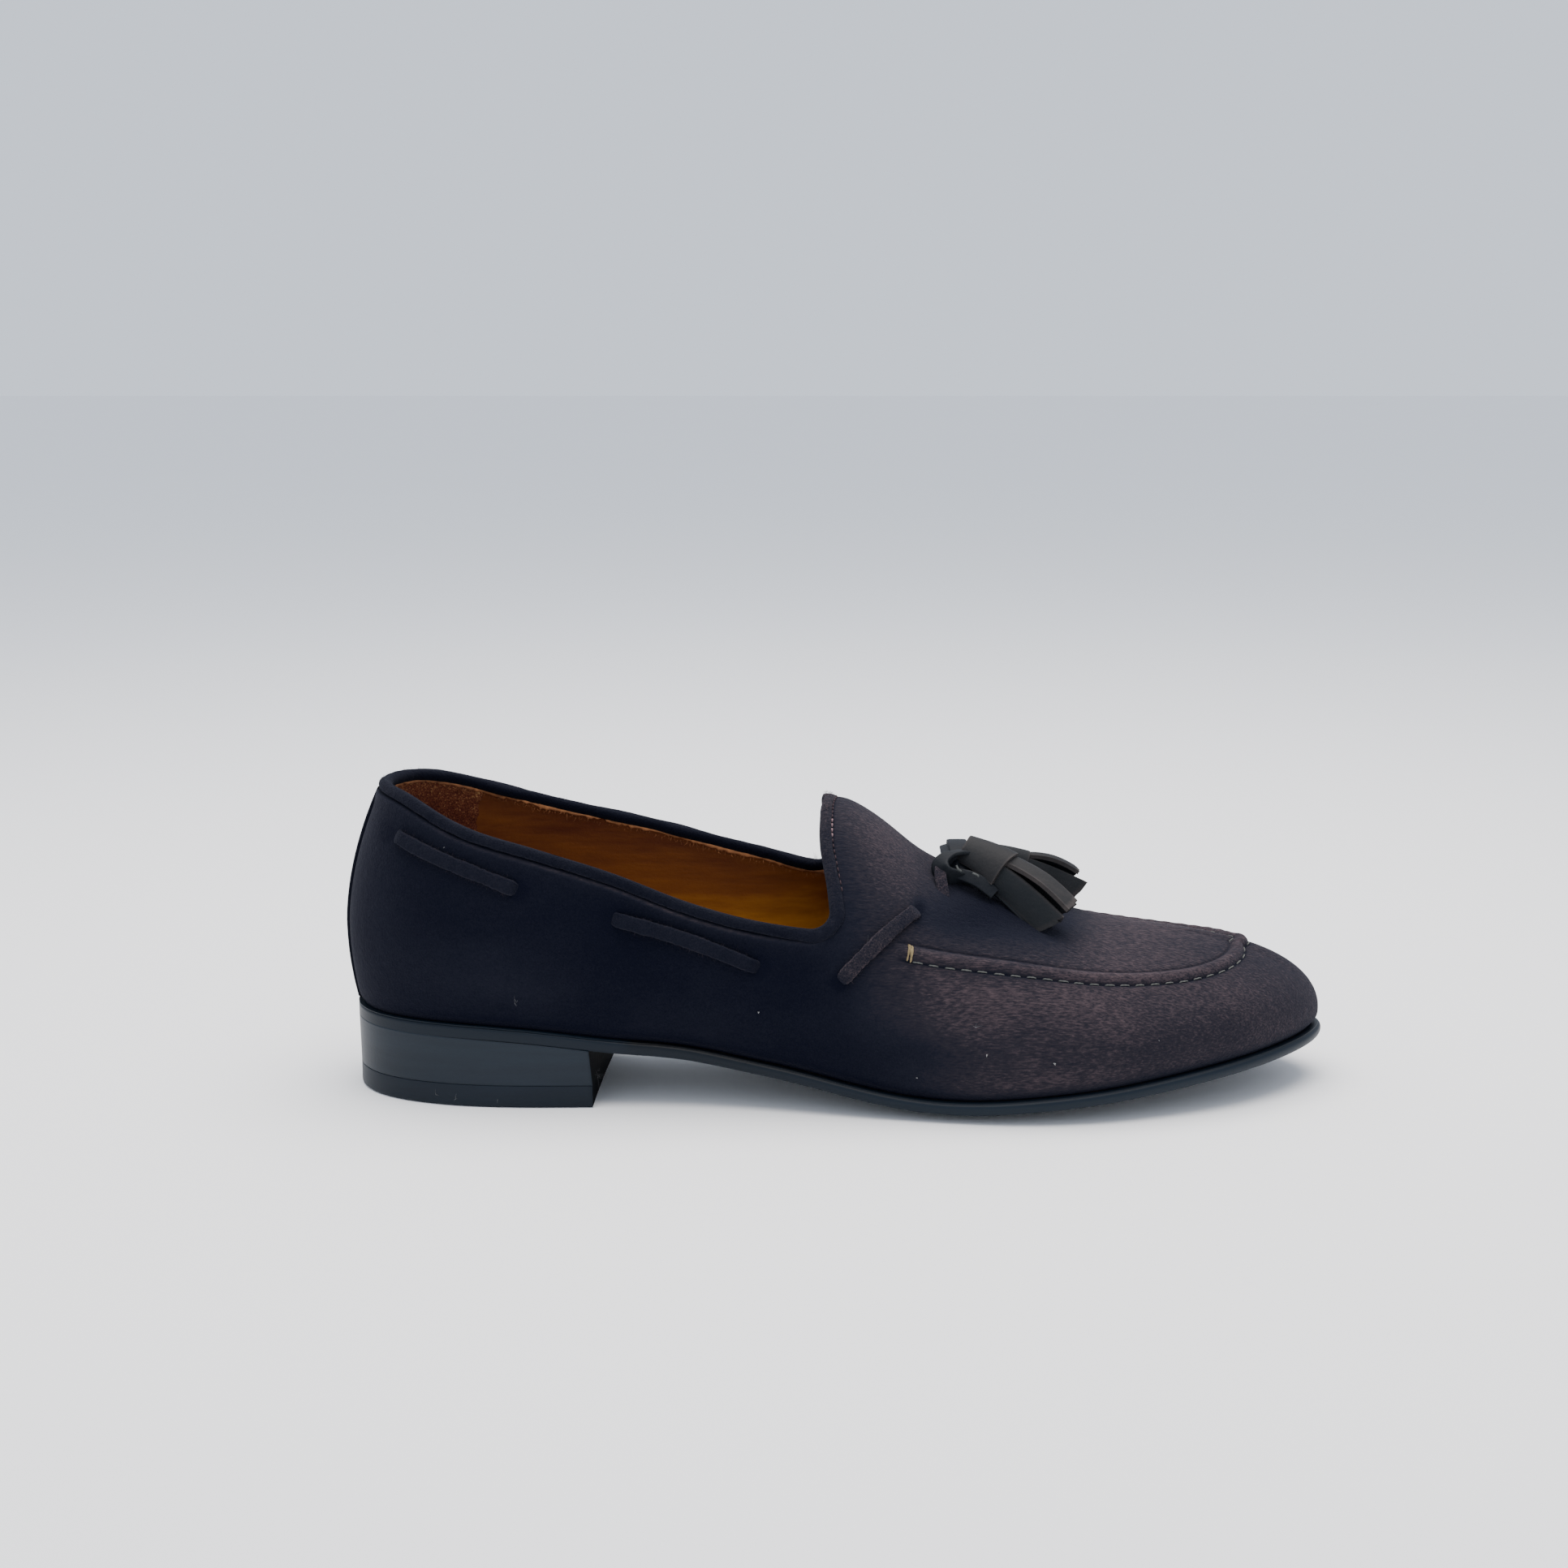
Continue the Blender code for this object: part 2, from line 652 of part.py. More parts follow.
def back_strip():
    # Narrow strip over the back seam, from the binding down to the sole.
    top = rise_at(0.0, edge_height(0.0) - BINDING_DROP - 3 * GAP)
    front, back = [], []
    rows = 12
    for row in range(rows):
        rise = 0.004 + (top - 0.004) * row / (rows - 1)
        for across, lift in ((-1, 0.2), (-0.75, 1), (-0.3, 1.1), (0.3, 1.1), (0.75, 1), (1, 0.2)):
            turn = across * BACK_STRIP_TURN
            point, normal = last_point(turn, rise), last_normal(turn, rise)
            front.append(point + normal * (GAP + STRIP_THICKNESS * lift))
            back.append(point + normal * GAP)
    return solid_between("back_strip", front, back, strip_faces(rows, 6), BINDING)


def lace_strip(name, side, start, end):
    # Stretch of flat lace lying on the wall. start and end: along and height shares.
    def place(spot):
        turn = place_on(LAST, spot[0] * LENGTH)
        turn = turn if side < 0 else 2 - turn
        return np.array([turn, rise_at(turn, spot[1] * BACK_HEIGHT)])

    first, last = place(start), place(end)
    rows, front, back = 7, [], []
    centres = [first + (last - first) * row / (rows - 1) for row in range(rows)]
    points = np.array([last_point(*centre) for centre in centres])
    along = np.gradient(points, axis=0)
    for row, centre in enumerate(centres):
        normal = last_normal(*centre)
        across = np.cross(normal, along[row])
        across /= np.linalg.norm(across)
        sunk = 0.45 if row in (0, rows - 1) else 1.0
        for share, lift in ((-1, 0.35), (-0.75, 0.95), (0, 1.05), (0.75, 0.95), (1, 0.35)):
            place_across = points[row] + across * share * LACE_WIDTH / 2
            front.append(place_across + normal * (LACE_GAP + LACE_THICKNESS * lift * sunk))
            back.append(place_across + normal * LACE_GAP)
    return solid_between(name, front, back, strip_faces(rows, 5), SUEDE_LACE)


def sole_edge(turn, offset):
    # Outline of the sole at one turn, offset inwards from its widest line.
    reach = LAST(turn)[5]
    return outline_point(turn, reach - offset, 0.0)


def edge_roundness(turn):
    # The edge is square over the heel and half round further on.
    return min(max((LAST(turn)[5] / SOLE_REACH - 0.45) / 0.45, 0.15), 1.0)


def crossing_grid(turns, point_row):
    # Grid of rows from the lateral to the medial side. point_row gives one row for a turn.
    rows = [point_row(turn) for turn in turns]
    return [point for row in rows for point in row], strip_faces(len(rows), len(rows[0]))


def outsole():
    turns = stations()

    def skin(turn, sign):
        # sign 1 gives the top skin and -1 the underside, meeting at the edge's middle line.
        round_by = edge_roundness(turn)
        insets = [0.0, 0.12 * round_by, 0.50 * round_by]
        drops = [0.5 - 0.04 * sign, 0.5 - 0.38 * sign, 0.5 - 0.5 * sign]
        sides = []
        for real_turn in (turn, 2 - turn):
            ring = []
            for inset, drop in zip(insets, drops):
                place = sole_edge(real_turn, inset * SOLE_THICKNESS * 0.5)
                edge = SOLE_EDGE(min(max(place[0], 0), LENGTH))
                ring.append(np.array([place[0], place[1], edge + SOLE_THICKNESS * (1 - drop)]))
            sides.append(ring)
        lateral, medial = sides
        row = list(lateral)
        for cross in range(1, SOLE_CROSS):
            share = cross / SOLE_CROSS
            place = lateral[-1] * (1 - share) + medial[-1] * share
            edge = SOLE_EDGE(min(max(place[0], 0), LENGTH))
            off = abs(2 * share - 1)
            crown = CROWN(min(max(place[0], 0), LENGTH)) * (1 - off**2)
            height = edge + SOLE_THICKNESS if sign > 0 else max(edge - crown, 0.0)
            row.append(np.array([place[0], place[1], height]))
        return row + medial[::-1]

    top, faces = crossing_grid(turns, lambda turn: skin(turn, 1))
    under, _ = crossing_grid(turns, lambda turn: skin(turn, -1))
    return solid_between("outsole", top, under, faces, SOLE_LEATHER)


def heel_block(name, top_drop, height_of_top, height_of_bottom, look):
    # D-shaped block under the heel. top_drop and the heights are functions of X.
    def outline(share, inset, low):
        ends = []
        for side in (0, 1):
            width = -HEEL_WIDTH / 2 if side == 0 else HEEL_WIDTH / 2
            breast = HEEL_LENGTH + BREAST_TURN * width - BREAST_RAKE * (0 if low else 1)
            last_turn = place_on(LAST, breast)
            turn = last_turn * share
            turn = turn if side == 0 else 2 - turn
            ends.append(sole_edge(turn, inset))
        row = []
        for cross in range(HEEL_CROSS + 1):
            part = cross / HEEL_CROSS
            place = ends[0] * (1 - part) + ends[1] * part
            hollow = BREAST_HOLLOW * (1 - (2 * part - 1) ** 2) * max(share - 0.6, 0) / 0.4
            row.append(np.array([place[0] - hollow, place[1], 0.0]))
        return row

    top, bottom = [], []
    shares = [0.0, 0.05, 0.11, 0.18, 0.26, 0.35, 0.45, 0.56, 0.68, 0.80, 0.91, 1.0]
    for share in shares:
        for place in outline(share, top_drop[0], False):
            top.append(place + np.array([0, 0, height_of_top(place[0])]))
        for place in outline(share, top_drop[1], True):
            bottom.append(place + np.array([0, 0, height_of_bottom]))
    return solid_between(name, top, bottom, strip_faces(len(shares), HEEL_CROSS + 1), look)


def insole():
    turns = [turn for turn in stations() if 0 < turn < 0.995]

    def row(turn, top):
        inset = -(WALL + GAP)
        lateral, medial = (outline_point(real, inset, 0.0) for real in (turn, 2 - turn))
        points = []
        for cross in range(INSOLE_CROSS + 1):
            share = cross / INSOLE_CROSS
            place = lateral * (1 - share) + medial * share
            base = SOLE_EDGE(place[0]) + SOLE_THICKNESS + GAP
            points.append(np.array([place[0], place[1], base + (INSOLE_THICKNESS if top else 0)]))
        return points

    top, faces = crossing_grid(turns, lambda turn: row(turn, True))
    under, _ = crossing_grid(turns, lambda turn: row(turn, False))
    return solid_between("insole", top, under, faces, LINING)


def arch_point(across, lift):
    # Place over the vamp's ridge at KNOT_PLACE, across the shoe.
    x = KNOT_PLACE * LENGTH
    y = SPINE(x) + KNOT_OFFSET + across
    return np.array([x, y, vamp_height(x, y) + lift])


def lace_knot():
    # Tied lace: lobed bundle arching over the ridge from one side of the vamp to the other.
    front = []
    rows, around = 11, 18
    for row in range(rows):
        share = row / (rows - 1) * 2 - 1
        swell = math.sqrt(max(1 - share * share, 0.0)) * 0.72 + 0.28
        centre = arch_point(share * KNOT_WIDTH / 2, GAP + KNOT_HEIGHT / 2 * swell + 0.0004)
        for i in range(around):
            angle = 2 * math.pi * i / around
            lobe = 1 + 0.10 * math.cos(3 * angle + 0.8 * share)
            reach_x = KNOT_LENGTH / 2 * swell * lobe * math.cos(angle)
            reach_z = KNOT_HEIGHT / 2 * swell * lobe * 0.92 * math.sin(angle)
            slope = -0.42 * reach_x
            front.append(centre + np.array([reach_x, 0.0, reach_z + slope]))
    ends = [np.mean(front[:around], axis=0), np.mean(front[-around:], axis=0)]
    faces = []
    for row in range(rows - 1):
        for i in range(around):
            after = (i + 1) % around
            low, high = row * around, (row + 1) * around
            faces.append((low + i, high + i, high + after, low + after))
    first, last = len(front), len(front) + 1
    for i in range(around):
        after = (i + 1) % around
        faces.append((first, i, after))
        faces.append((last, (rows - 1) * around + after, (rows - 1) * around + i))
    mesh = bpy.data.meshes.new("lace_knot")
    mesh.from_pydata([tuple(point) for point in front + ends], [], faces)
    body = bpy.data.objects.new("lace_knot", mesh)
    COLLECTION.objects.link(body)
    mesh.materials.append(TASSEL_LEATHER)
    mesh.polygons.foreach_set("use_smooth", [True] * len(mesh.polygons))
    return body


def tassel(name, start, tip, roll):
    # Sheet cut into strips and rolled up: a thick band at the knot, then the strips fanning out.
    # start and tip: X, distance from the ridge line and height over the vamp. roll: degrees round its axis.
    def place(spot):
        x = spot[0] * LENGTH
        y = SPINE(x) + spot[1]
        return np.array([x, y, vamp_height(x, y) + spot[2]])

    first, last = place(start), place(tip)
    reach = np.linalg.norm(last - first)
    travel = (last - first) / reach
    level = np.cross(travel, [0.0, 0.0, 1.0])
    level /= np.linalg.norm(level)
    upright = np.cross(level, travel)
    lean = math.radians(roll)
    sideways = level * math.cos(lean) - upright * math.sin(lean)
    facing = level * math.sin(lean) + upright * math.cos(lean)
    front, back, faces = [], [], []
    band_stages = [0.0, 0.10, 0.50, 0.90, 1.0]
    stages = band_stages + [1 + (i + 1) / TASSEL_TAIL_ROWS for i in range(TASSEL_TAIL_ROWS)]
    columns = TASSEL_STRIPS * 3
    for row, stage in enumerate(stages):
        tail = max(stage - 1, 0)
        rim = 0.94 if row in (0, 4) else 1.0
        half_width = TASSEL_WIDTH / 2 * (0.85 + 0.15 * min(stage, 1) + TASSEL_FLARE * tail) * rim
        half_height = TASSEL_HEIGHT / 2 * (1 - 0.30 * tail) * rim
        thick = TASSEL_ROLL if stage <= 1 else TASSEL_SHEET
        for column in range(columns):
            strip, part = divmod(column, 3)
            slot = 0.10 + 0.05 * tail
            angle = 2 * math.pi * (strip + 0.5 + (part - 1) * (0.5 - slot)) / TASSEL_STRIPS
            short = TASSEL_UNEVEN * (strip * 3 % 4) / 3 * tail
            along = min(stage, 1) * TASSEL_BAND + tail * (reach - TASSEL_BAND) - short
            centre = first + travel * along
            for skin, depth in ((front, 0.0), (back, thick)):
                wide = max(half_width - depth, 0.0004)
                tall = max(half_height - depth, 0.0004)
                skin.append(centre + sideways * wide * math.cos(angle) + facing * tall * math.sin(angle))
    for row in range(len(stages) - 1):
        for column in range(columns):
            if row >= len(band_stages) - 1 and column % 3 == 2:
                continue
            after = (column + 1) % columns
            low, high = row * columns, (row + 1) * columns
            faces.append([low + column, low + after, high + after, high + column])
    return solid_between(name, front, back, faces, TASSEL_LEATHER)


def centre_on_box(bodies):
    # Moves the model so its box is centred over the origin and stands on the floor.
    spots = [vertex.co for body in bodies for vertex in body.data.vertices]
    low = [min(spot[axis] for spot in spots) for axis in range(3)]
    high = [max(spot[axis] for spot in spots) for axis in range(3)]
    shift = Vector((-(low[0] + high[0]) / 2, -(low[1] + high[1]) / 2, -low[2]))
    for body in bodies:
        body.data.transform(Matrix.Translation(shift))
        body.data.update()
    return shift


for item in list(bpy.data.objects):
    bpy.data.objects.remove(item, do_unlink=True)

COLLECTION = bpy.data.collections.new("tassel_loafer")
bpy.context.scene.collection.children.link(COLLECTION)

SUEDE = make_look("brown_suede", (0.022, 0.014, 0.016), 0.95)
SUEDE_LACE = make_look("suede_lace", (0.026, 0.018, 0.020), 0.95)
BINDING = make_look("suede_binding", (0.014, 0.010, 0.012), 0.9)
LINING = make_look("tan_lining", (0.11, 0.028, 0.006), 0.6)
SOLE_LEATHER = make_look("blackened_sole", (0.010, 0.012, 0.016), 0.4, 0.3)
HEEL_STACK = make_look("blackened_heel", (0.012, 0.018, 0.024), 0.3, 0.5)
TOP_LIFT = make_look("top_lift_rubber", (0.010, 0.014, 0.020), 0.6)
TASSEL_LEATHER = make_look("tassel_leather", (0.014, 0.016, 0.018), 0.45, 0.1)

grid = upper_grid()
pieces = [
    outsole(),
    heel_block(
        "heel_stack",
        (0.0001, HEEL_TAPER),
        lambda x: SOLE_EDGE(max(x, 0)) - GAP,
        TOP_LIFT_THICKNESS + GAP,
        HEEL_STACK,
    ),
    heel_block("top_lift", (HEEL_TAPER, HEEL_TAPER), lambda x: TOP_LIFT_THICKNESS, 0.0, TOP_LIFT),
    insole(),
    upper(grid),
    collar_binding(grid),
    back_strip(),
]
for label, side, heights in (("lateral", -1, 1), ("medial", 1, 2)):
    for strip in LACES:
        start, end = (strip[1], strip[heights + 1]), (strip[4], strip[heights + 4])
        pieces.append(lace_strip(strip[0] + "_" + label, side, start, end))
pieces.append(lace_knot())
pieces.append(tassel("tassel_lateral", *TASSEL_PLACES[0]))
pieces.append(tassel("tassel_medial", *TASSEL_PLACES[1]))
SHIFT = centre_on_box(pieces)
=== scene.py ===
# Tassel loafer for the right foot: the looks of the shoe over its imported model.
# Metres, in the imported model's frame: X from heel to toe, -Y the outer side, Z up.

import math

import bmesh
import bpy
import numpy as np
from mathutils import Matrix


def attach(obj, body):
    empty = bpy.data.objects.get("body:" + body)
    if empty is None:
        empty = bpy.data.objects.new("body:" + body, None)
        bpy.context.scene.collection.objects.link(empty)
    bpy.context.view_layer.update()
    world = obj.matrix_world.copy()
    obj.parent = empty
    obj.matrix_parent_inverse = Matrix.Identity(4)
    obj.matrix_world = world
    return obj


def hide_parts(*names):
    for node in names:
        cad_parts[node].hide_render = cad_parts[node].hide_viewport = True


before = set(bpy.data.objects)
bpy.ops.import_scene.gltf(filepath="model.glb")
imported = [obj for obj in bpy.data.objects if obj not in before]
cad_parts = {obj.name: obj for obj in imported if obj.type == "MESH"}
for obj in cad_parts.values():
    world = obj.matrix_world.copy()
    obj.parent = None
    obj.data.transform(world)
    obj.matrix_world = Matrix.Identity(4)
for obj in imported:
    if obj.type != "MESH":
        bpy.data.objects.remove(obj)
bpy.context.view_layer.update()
print("packed model loaded:", len(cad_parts), "nodes")

# camera, lights and floor
studio = {
    "cameraPlace": (-0.0165, -0.7519, 0.2365),
    "cameraPitch": 10.84,  # degrees down
    "cameraLens": 57.317,
    "sensorWidth": 36.0,
    "clipping": (0.01, 50.0),
    "worldColour": (0.80, 0.87, 1.0),
    "worldStrength": 1.15,
    # lamp: name, place, turn in degrees, size, power, colour
    "lamps": [
        ("overheadLight", (0.02, 0.05, 0.95), (0, 0, 0), 1.1, 18.0, (1.0, 0.94, 0.88)),
        ("frontLight", (-0.5, -1.1, 0.55), (65, 0, -22), 0.9, 0.8, (0.72, 0.84, 1.0)),
    ],
    "floorColour": (0.93, 0.93, 0.93),
    "floorReach": 6.0,
    "floorDrop": 0.0001,  # below the sole, so that the two faces never share a plane
}


def setUpStudio():
    lens = bpy.data.cameras.new("photoCamera")
    lens.lens, lens.sensor_width = studio["cameraLens"], studio["sensorWidth"]
    lens.clip_start, lens.clip_end = studio["clipping"]
    camera = bpy.data.objects.new("photoCamera", lens)
    camera.location = studio["cameraPlace"]
    camera.rotation_euler = (math.radians(90 - studio["cameraPitch"]), 0, 0)
    bpy.context.scene.collection.objects.link(camera)
    bpy.context.scene.camera = camera

    world = bpy.data.worlds.new("softRoom")
    world.use_nodes = True
    back = world.node_tree.nodes["Background"]
    back.inputs["Color"].default_value = (*studio["worldColour"], 1)
    back.inputs["Strength"].default_value = studio["worldStrength"]
    bpy.context.scene.world = world

    for name, place, turn, size, power, colour in studio["lamps"]:
        lamp = bpy.data.lights.new(name, "AREA")
        lamp.shape, lamp.size, lamp.energy, lamp.color = "DISK", size, power, colour
        holder = bpy.data.objects.new(name, lamp)
        holder.location = place
        holder.rotation_euler = [math.radians(angle) for angle in turn]
        bpy.context.scene.collection.objects.link(holder)


setUpStudio()

# the last: sizes in metres, and the lines that the sections and edges follow
last = {
    "length": 0.302,
    "ballWidth": 0.099,
    "waistWidth": 0.0625,
    "heelWidth": 0.0625,
    "toeWidth": 0.062,
    "backHeight": 0.0945,
    "instepHeight": 0.0880,
    "toeBoxHeight": 0.0465,
    "heelSeatHeight": 0.0255,
    "toeSpring": 0.0105,
    "soleCrown": 0.0035,
    "swell": 0.0029,
    "wall": 0.0022,
    "gap": 0.0003,
    "soleThickness": 0.0040,
    "soleReach": 0.0019,
    "throat": 0.4834,  # share of the length
    "throatRadius": 0.0058,
    "throatLean": (0.0072, 0.0172),  # turn, outer and inner side
    "throatLeanReach": 0.05,
    "tongueBulge": 0.0042,  # turn by which the tongue's edge swells backwards
    "tongueBulgeAt": (0.42, 0.24),  # where it swells, and over how much of the climb
    "tongueRound": 0.0055,  # turn by which it draws forwards on top
    "tongueRoundAt": (0.66, 0.34),
    "cornerBlend": 0.07,  # turn over which the seam comes down from the throat's corner
    "knee": 0.25,  # rise at which the wall is widest
}
shift = np.array([-0.150376, -0.001888, 0.0])  # from the back of the heel to the model's own origin

# section, heel to toe: along, width, lateral, medial, spine, widest, swell, reach, curve
sections = [
    (0.0096, "heelWidth", 0.000, 0.000, 0.200, 0.215, 1.00, 0.42, 1.70),
    (0.0300, "heelWidth", 0.262, 0.262, 0.201, 0.215, 0.90, 0.42, 1.70),
    (0.0820, "heelWidth", 0.425, 0.422, 0.206, 0.210, 0.70, 0.45, 1.66),
    (0.1600, "heelWidth", 0.500, 0.498, 0.226, 0.200, 0.50, 0.50, 1.66),
    (0.2500, "heelWidth", 0.500, 0.480, 0.275, 0.185, 0.50, 0.55, 1.70),
    (0.3400, "waistWidth", 0.500, 0.440, 0.350, 0.180, 0.60, 0.75, 1.80),
    (0.4300, "waistWidth", 0.556, 0.450, 0.432, 0.180, 0.60, 0.90, 1.90),
    (0.5100, "waistWidth", 0.640, 0.545, 0.510, 0.185, 0.60, 1.00, 1.92),
    (0.5900, "ballWidth", 0.452, 0.425, 0.588, 0.205, 0.55, 1.00, 1.92),
    (0.6700, "ballWidth", 0.484, 0.500, 0.662, 0.235, 0.50, 1.00, 2.00),
    (0.7500, "ballWidth", 0.466, 0.522, 0.725, 0.250, 0.42, 1.00, 2.05),
    (0.8300, "ballWidth", 0.392, 0.478, 0.775, 0.230, 0.36, 1.00, 2.05),
    (0.9000, "toeWidth", 0.460, 0.610, 0.806, 0.190, 0.32, 1.00, 2.05),
    (0.9560, "toeWidth", 0.240, 0.420, 0.826, 0.160, 0.30, 1.00, 2.02),
    (0.9865, "toeWidth", 0.040, 0.230, 0.835, 0.145, 0.30, 1.00, 2.00),
    (0.9937, "toeWidth", -0.092, 0.092, 0.838, 0.140, 0.30, 1.00, 2.00),
]
soleLine = [  # along, seat share, spring share
    (0.000, 0.863, 0.000), (0.100, 0.843, 0.000), (0.200, 0.768, 0.000), (0.278, 0.655, 0.000),
    (0.340, 0.590, 0.000), (0.400, 0.470, 0.000), (0.463, 0.325, 0.030), (0.530, 0.150, 0.070),
    (0.600, 0.055, 0.090), (0.680, 0.030, 0.270), (0.780, 0.000, 0.610), (0.880, 0.000, 0.940),
    (1.000, 0.000, 1.250),
]
crownLine = [  # along, share of the crown under the sole
    (0.00, 0.00), (0.26, 0.00), (0.36, 0.45), (0.50, 0.80), (0.60, 1.00), (0.72, 0.95), (0.85, 0.60), (1.00, 0.00),
]
# along, sideways share of the ball's width
spineLine = [(0.00, 0.000), (0.25, 0.000), (0.50, 0.035), (0.68, 0.060), (0.84, 0.055), (1.00, 0.050)]
ridgeLine = [  # along, height from the toe box (0) to the instep (1)
    (0.000, 2.28), (0.200, 2.20), (0.290, 1.95), (0.365, 1.60), (0.430, 1.25), (0.470, 1.06), (0.490, 1.012),
    (0.506, 0.992), (0.521, 0.942), (0.537, 0.866), (0.551, 0.787), (0.565, 0.700), (0.580, 0.612), (0.600, 0.522),
    (0.636, 0.400), (0.680, 0.265), (0.712, 0.175), (0.745, 0.100), (0.778, 0.048), (0.811, 0.018), (0.838, 0.000),
]
topLine = [  # along, lateral height, medial height
    (0.0096, 1.000, 1.000), (0.0300, 0.993, 0.998), (0.0820, 0.936, 0.970), (0.1300, 0.880, 0.930),
    (0.1800, 0.838, 0.890), (0.2300, 0.792, 0.855), (0.2800, 0.740, 0.824), (0.3300, 0.678, 0.788),
    (0.3800, 0.628, 0.746), (0.4300, 0.596, 0.705), (0.4640, 0.586, 0.675), (0.4900, 0.585, 0.665),
]
seamLine = [  # along, lateral height, medial height
    (0.4900, 1.120, 1.300), (0.5400, 1.090, 1.220), (0.5900, 1.030, 1.120), (0.6700, 0.961, 1.020),
    (0.7500, 0.884, 0.945), (0.8300, 0.845, 0.896), (0.9000, 0.851, 0.880), (0.9560, 0.879, 0.896),
    (0.9865, 0.905, 0.910), (0.9937, 0.914, 0.914),
]


def bell(distance):
    # one in the middle, falling away softly on both sides
    return np.exp(-(distance**2))


def eased(share):
    # from 0 to 1 with a soft start and a soft end
    return share * share * (3 - 2 * share)


def unit(vectors):
    return vectors / np.maximum(np.linalg.norm(vectors, axis=-1, keepdims=True), 1e-12)


def lengthsAlong(points):
    # how far along its line each point lies
    return np.concatenate([[0], np.cumsum(np.linalg.norm(np.diff(points, axis=0), axis=1))])


def readAt(places, knots, rows):
    # rows of numbers read off at places between their knots
    return np.stack([np.interp(places, knots, column) for column in np.asarray(rows, float).T], axis=1)


def calmed(values, width):
    # running mean over a few neighbours
    return np.convolve(values, np.ones(width) / width, "valid")


def splineThrough(knots, values, closed=False):
    # cubic spline that takes one number or an array of them
    knots, values = np.array(knots, float), np.array(values, float)
    steps, count = np.diff(knots), len(values) - 1
    matrix = np.zeros((count + 1, count + 1))
    target = np.zeros((count + 1,) + values.shape[1:])
    for i in range(1, count):
        matrix[i, i - 1 : i + 2] = steps[i - 1], 2 * (steps[i - 1] + steps[i]), steps[i]
        target[i] = 6 * ((values[i + 1] - values[i]) / steps[i] - (values[i] - values[i - 1]) / steps[i - 1])
    if closed:
        matrix[0, 0], matrix[0, count] = 1, -1
        matrix[count, [0, 1]] = 2 * steps[0], steps[0]
        matrix[count, [count, count - 1]] += 2 * steps[-1], steps[-1]
        target[count] = 6 * ((values[1] - values[0]) / steps[0] - (values[count] - values[count - 1]) / steps[-1])
    else:
        matrix[0, 0] = matrix[count, count] = 1
    bends = np.linalg.solve(matrix, target)

    def valueAt(at):
        at = np.asarray(at, float)
        if closed:
            at = knots[0] + (at - knots[0]) % (knots[-1] - knots[0])
        at = np.clip(at, knots[0], knots[-1])
        i = np.clip(np.searchsorted(knots, at, side="right") - 1, 0, len(knots) - 2)
        step = knots[i + 1] - knots[i]
        a = (knots[i + 1] - at) / step
        if values.ndim > 1:
            a, step = a[..., None], step[..., None]
        b = 1 - a
        return a * values[i] + b * values[i + 1] + ((a**3 - a) * bends[i] + (b**3 - b) * bends[i + 1]) * step**2 / 6

    return valueAt


def alongLine(rows, scale, column=1):
    return splineThrough([row[0] * last["length"] for row in rows], [row[column] * scale for row in rows])


def sectionRow(section, side):
    along, width, lateral, medial, spine, widest, swell, reach, curve = section
    half, length = (lateral if side < 0 else medial) * last[width], last["length"]
    foot = [along * length, side * half, spine * length]
    return [*foot, widest, swell * last["swell"], reach * last["soleReach"], curve]


def sectionLoop():
    lateral, medial = ([sectionRow(section, side) for section in sections] for side in (-1, 1))
    gaps = []
    for near in range(len(sections) - 1):
        gaps.append(sum(math.dist(side[near][:2], side[near + 1][:2]) for side in (lateral, medial)) / 2)
    half = np.concatenate([[0], np.cumsum(gaps)]) / sum(gaps)
    return splineThrough(np.concatenate([half, 2 - half[-2::-1]]), lateral + medial[-2::-1], closed=True)


lastAt = sectionLoop()
spineAt = alongLine(spineLine, last["ballWidth"])
crownAt = alongLine(crownLine, last["soleCrown"])
soleEdgeAt = splineThrough(
    [row[0] * last["length"] for row in soleLine],
    [row[1] * last["heelSeatHeight"] + row[2] * last["toeSpring"] for row in soleLine],
)
ridgeAt = splineThrough(
    [row[0] * last["length"] for row in ridgeLine],
    [last["toeBoxHeight"] + row[1] * (last["instepHeight"] - last["toeBoxHeight"]) for row in ridgeLine],
)
topLineAt = [alongLine(topLine, last["backHeight"], column) for column in (1, 2)]
seamLineAt = [alongLine(seamLine, last["toeBoxHeight"], column) for column in (1, 2)]


def turnWhere(wanted, column=0):
    # turn on the outer side at which one column of the sections reaches a value
    low, high = 0.0, 1.0
    for _ in range(40):
        middle = (low + high) / 2
        low, high = (middle, high) if lastAt(middle)[column] < wanted else (low, middle)
    return (low + high) / 2


throatTurn = turnWhere(last["throat"] * last["length"], column=2)


def fold(turn):
    # how far from the back of the heel, whichever side
    turn = np.asarray(turn, float) % 2
    return np.minimum(turn, 2 - turn)


def onOuterSide(turn):
    return np.asarray(turn, float) % 2 <= 1


def onForepart(turn):
    return fold(turn) > throatTurn - 1e-6


def ridgeSlope(spineX):
    return (ridgeAt(spineX + 0.001) - ridgeAt(spineX - 0.001)) / 0.002


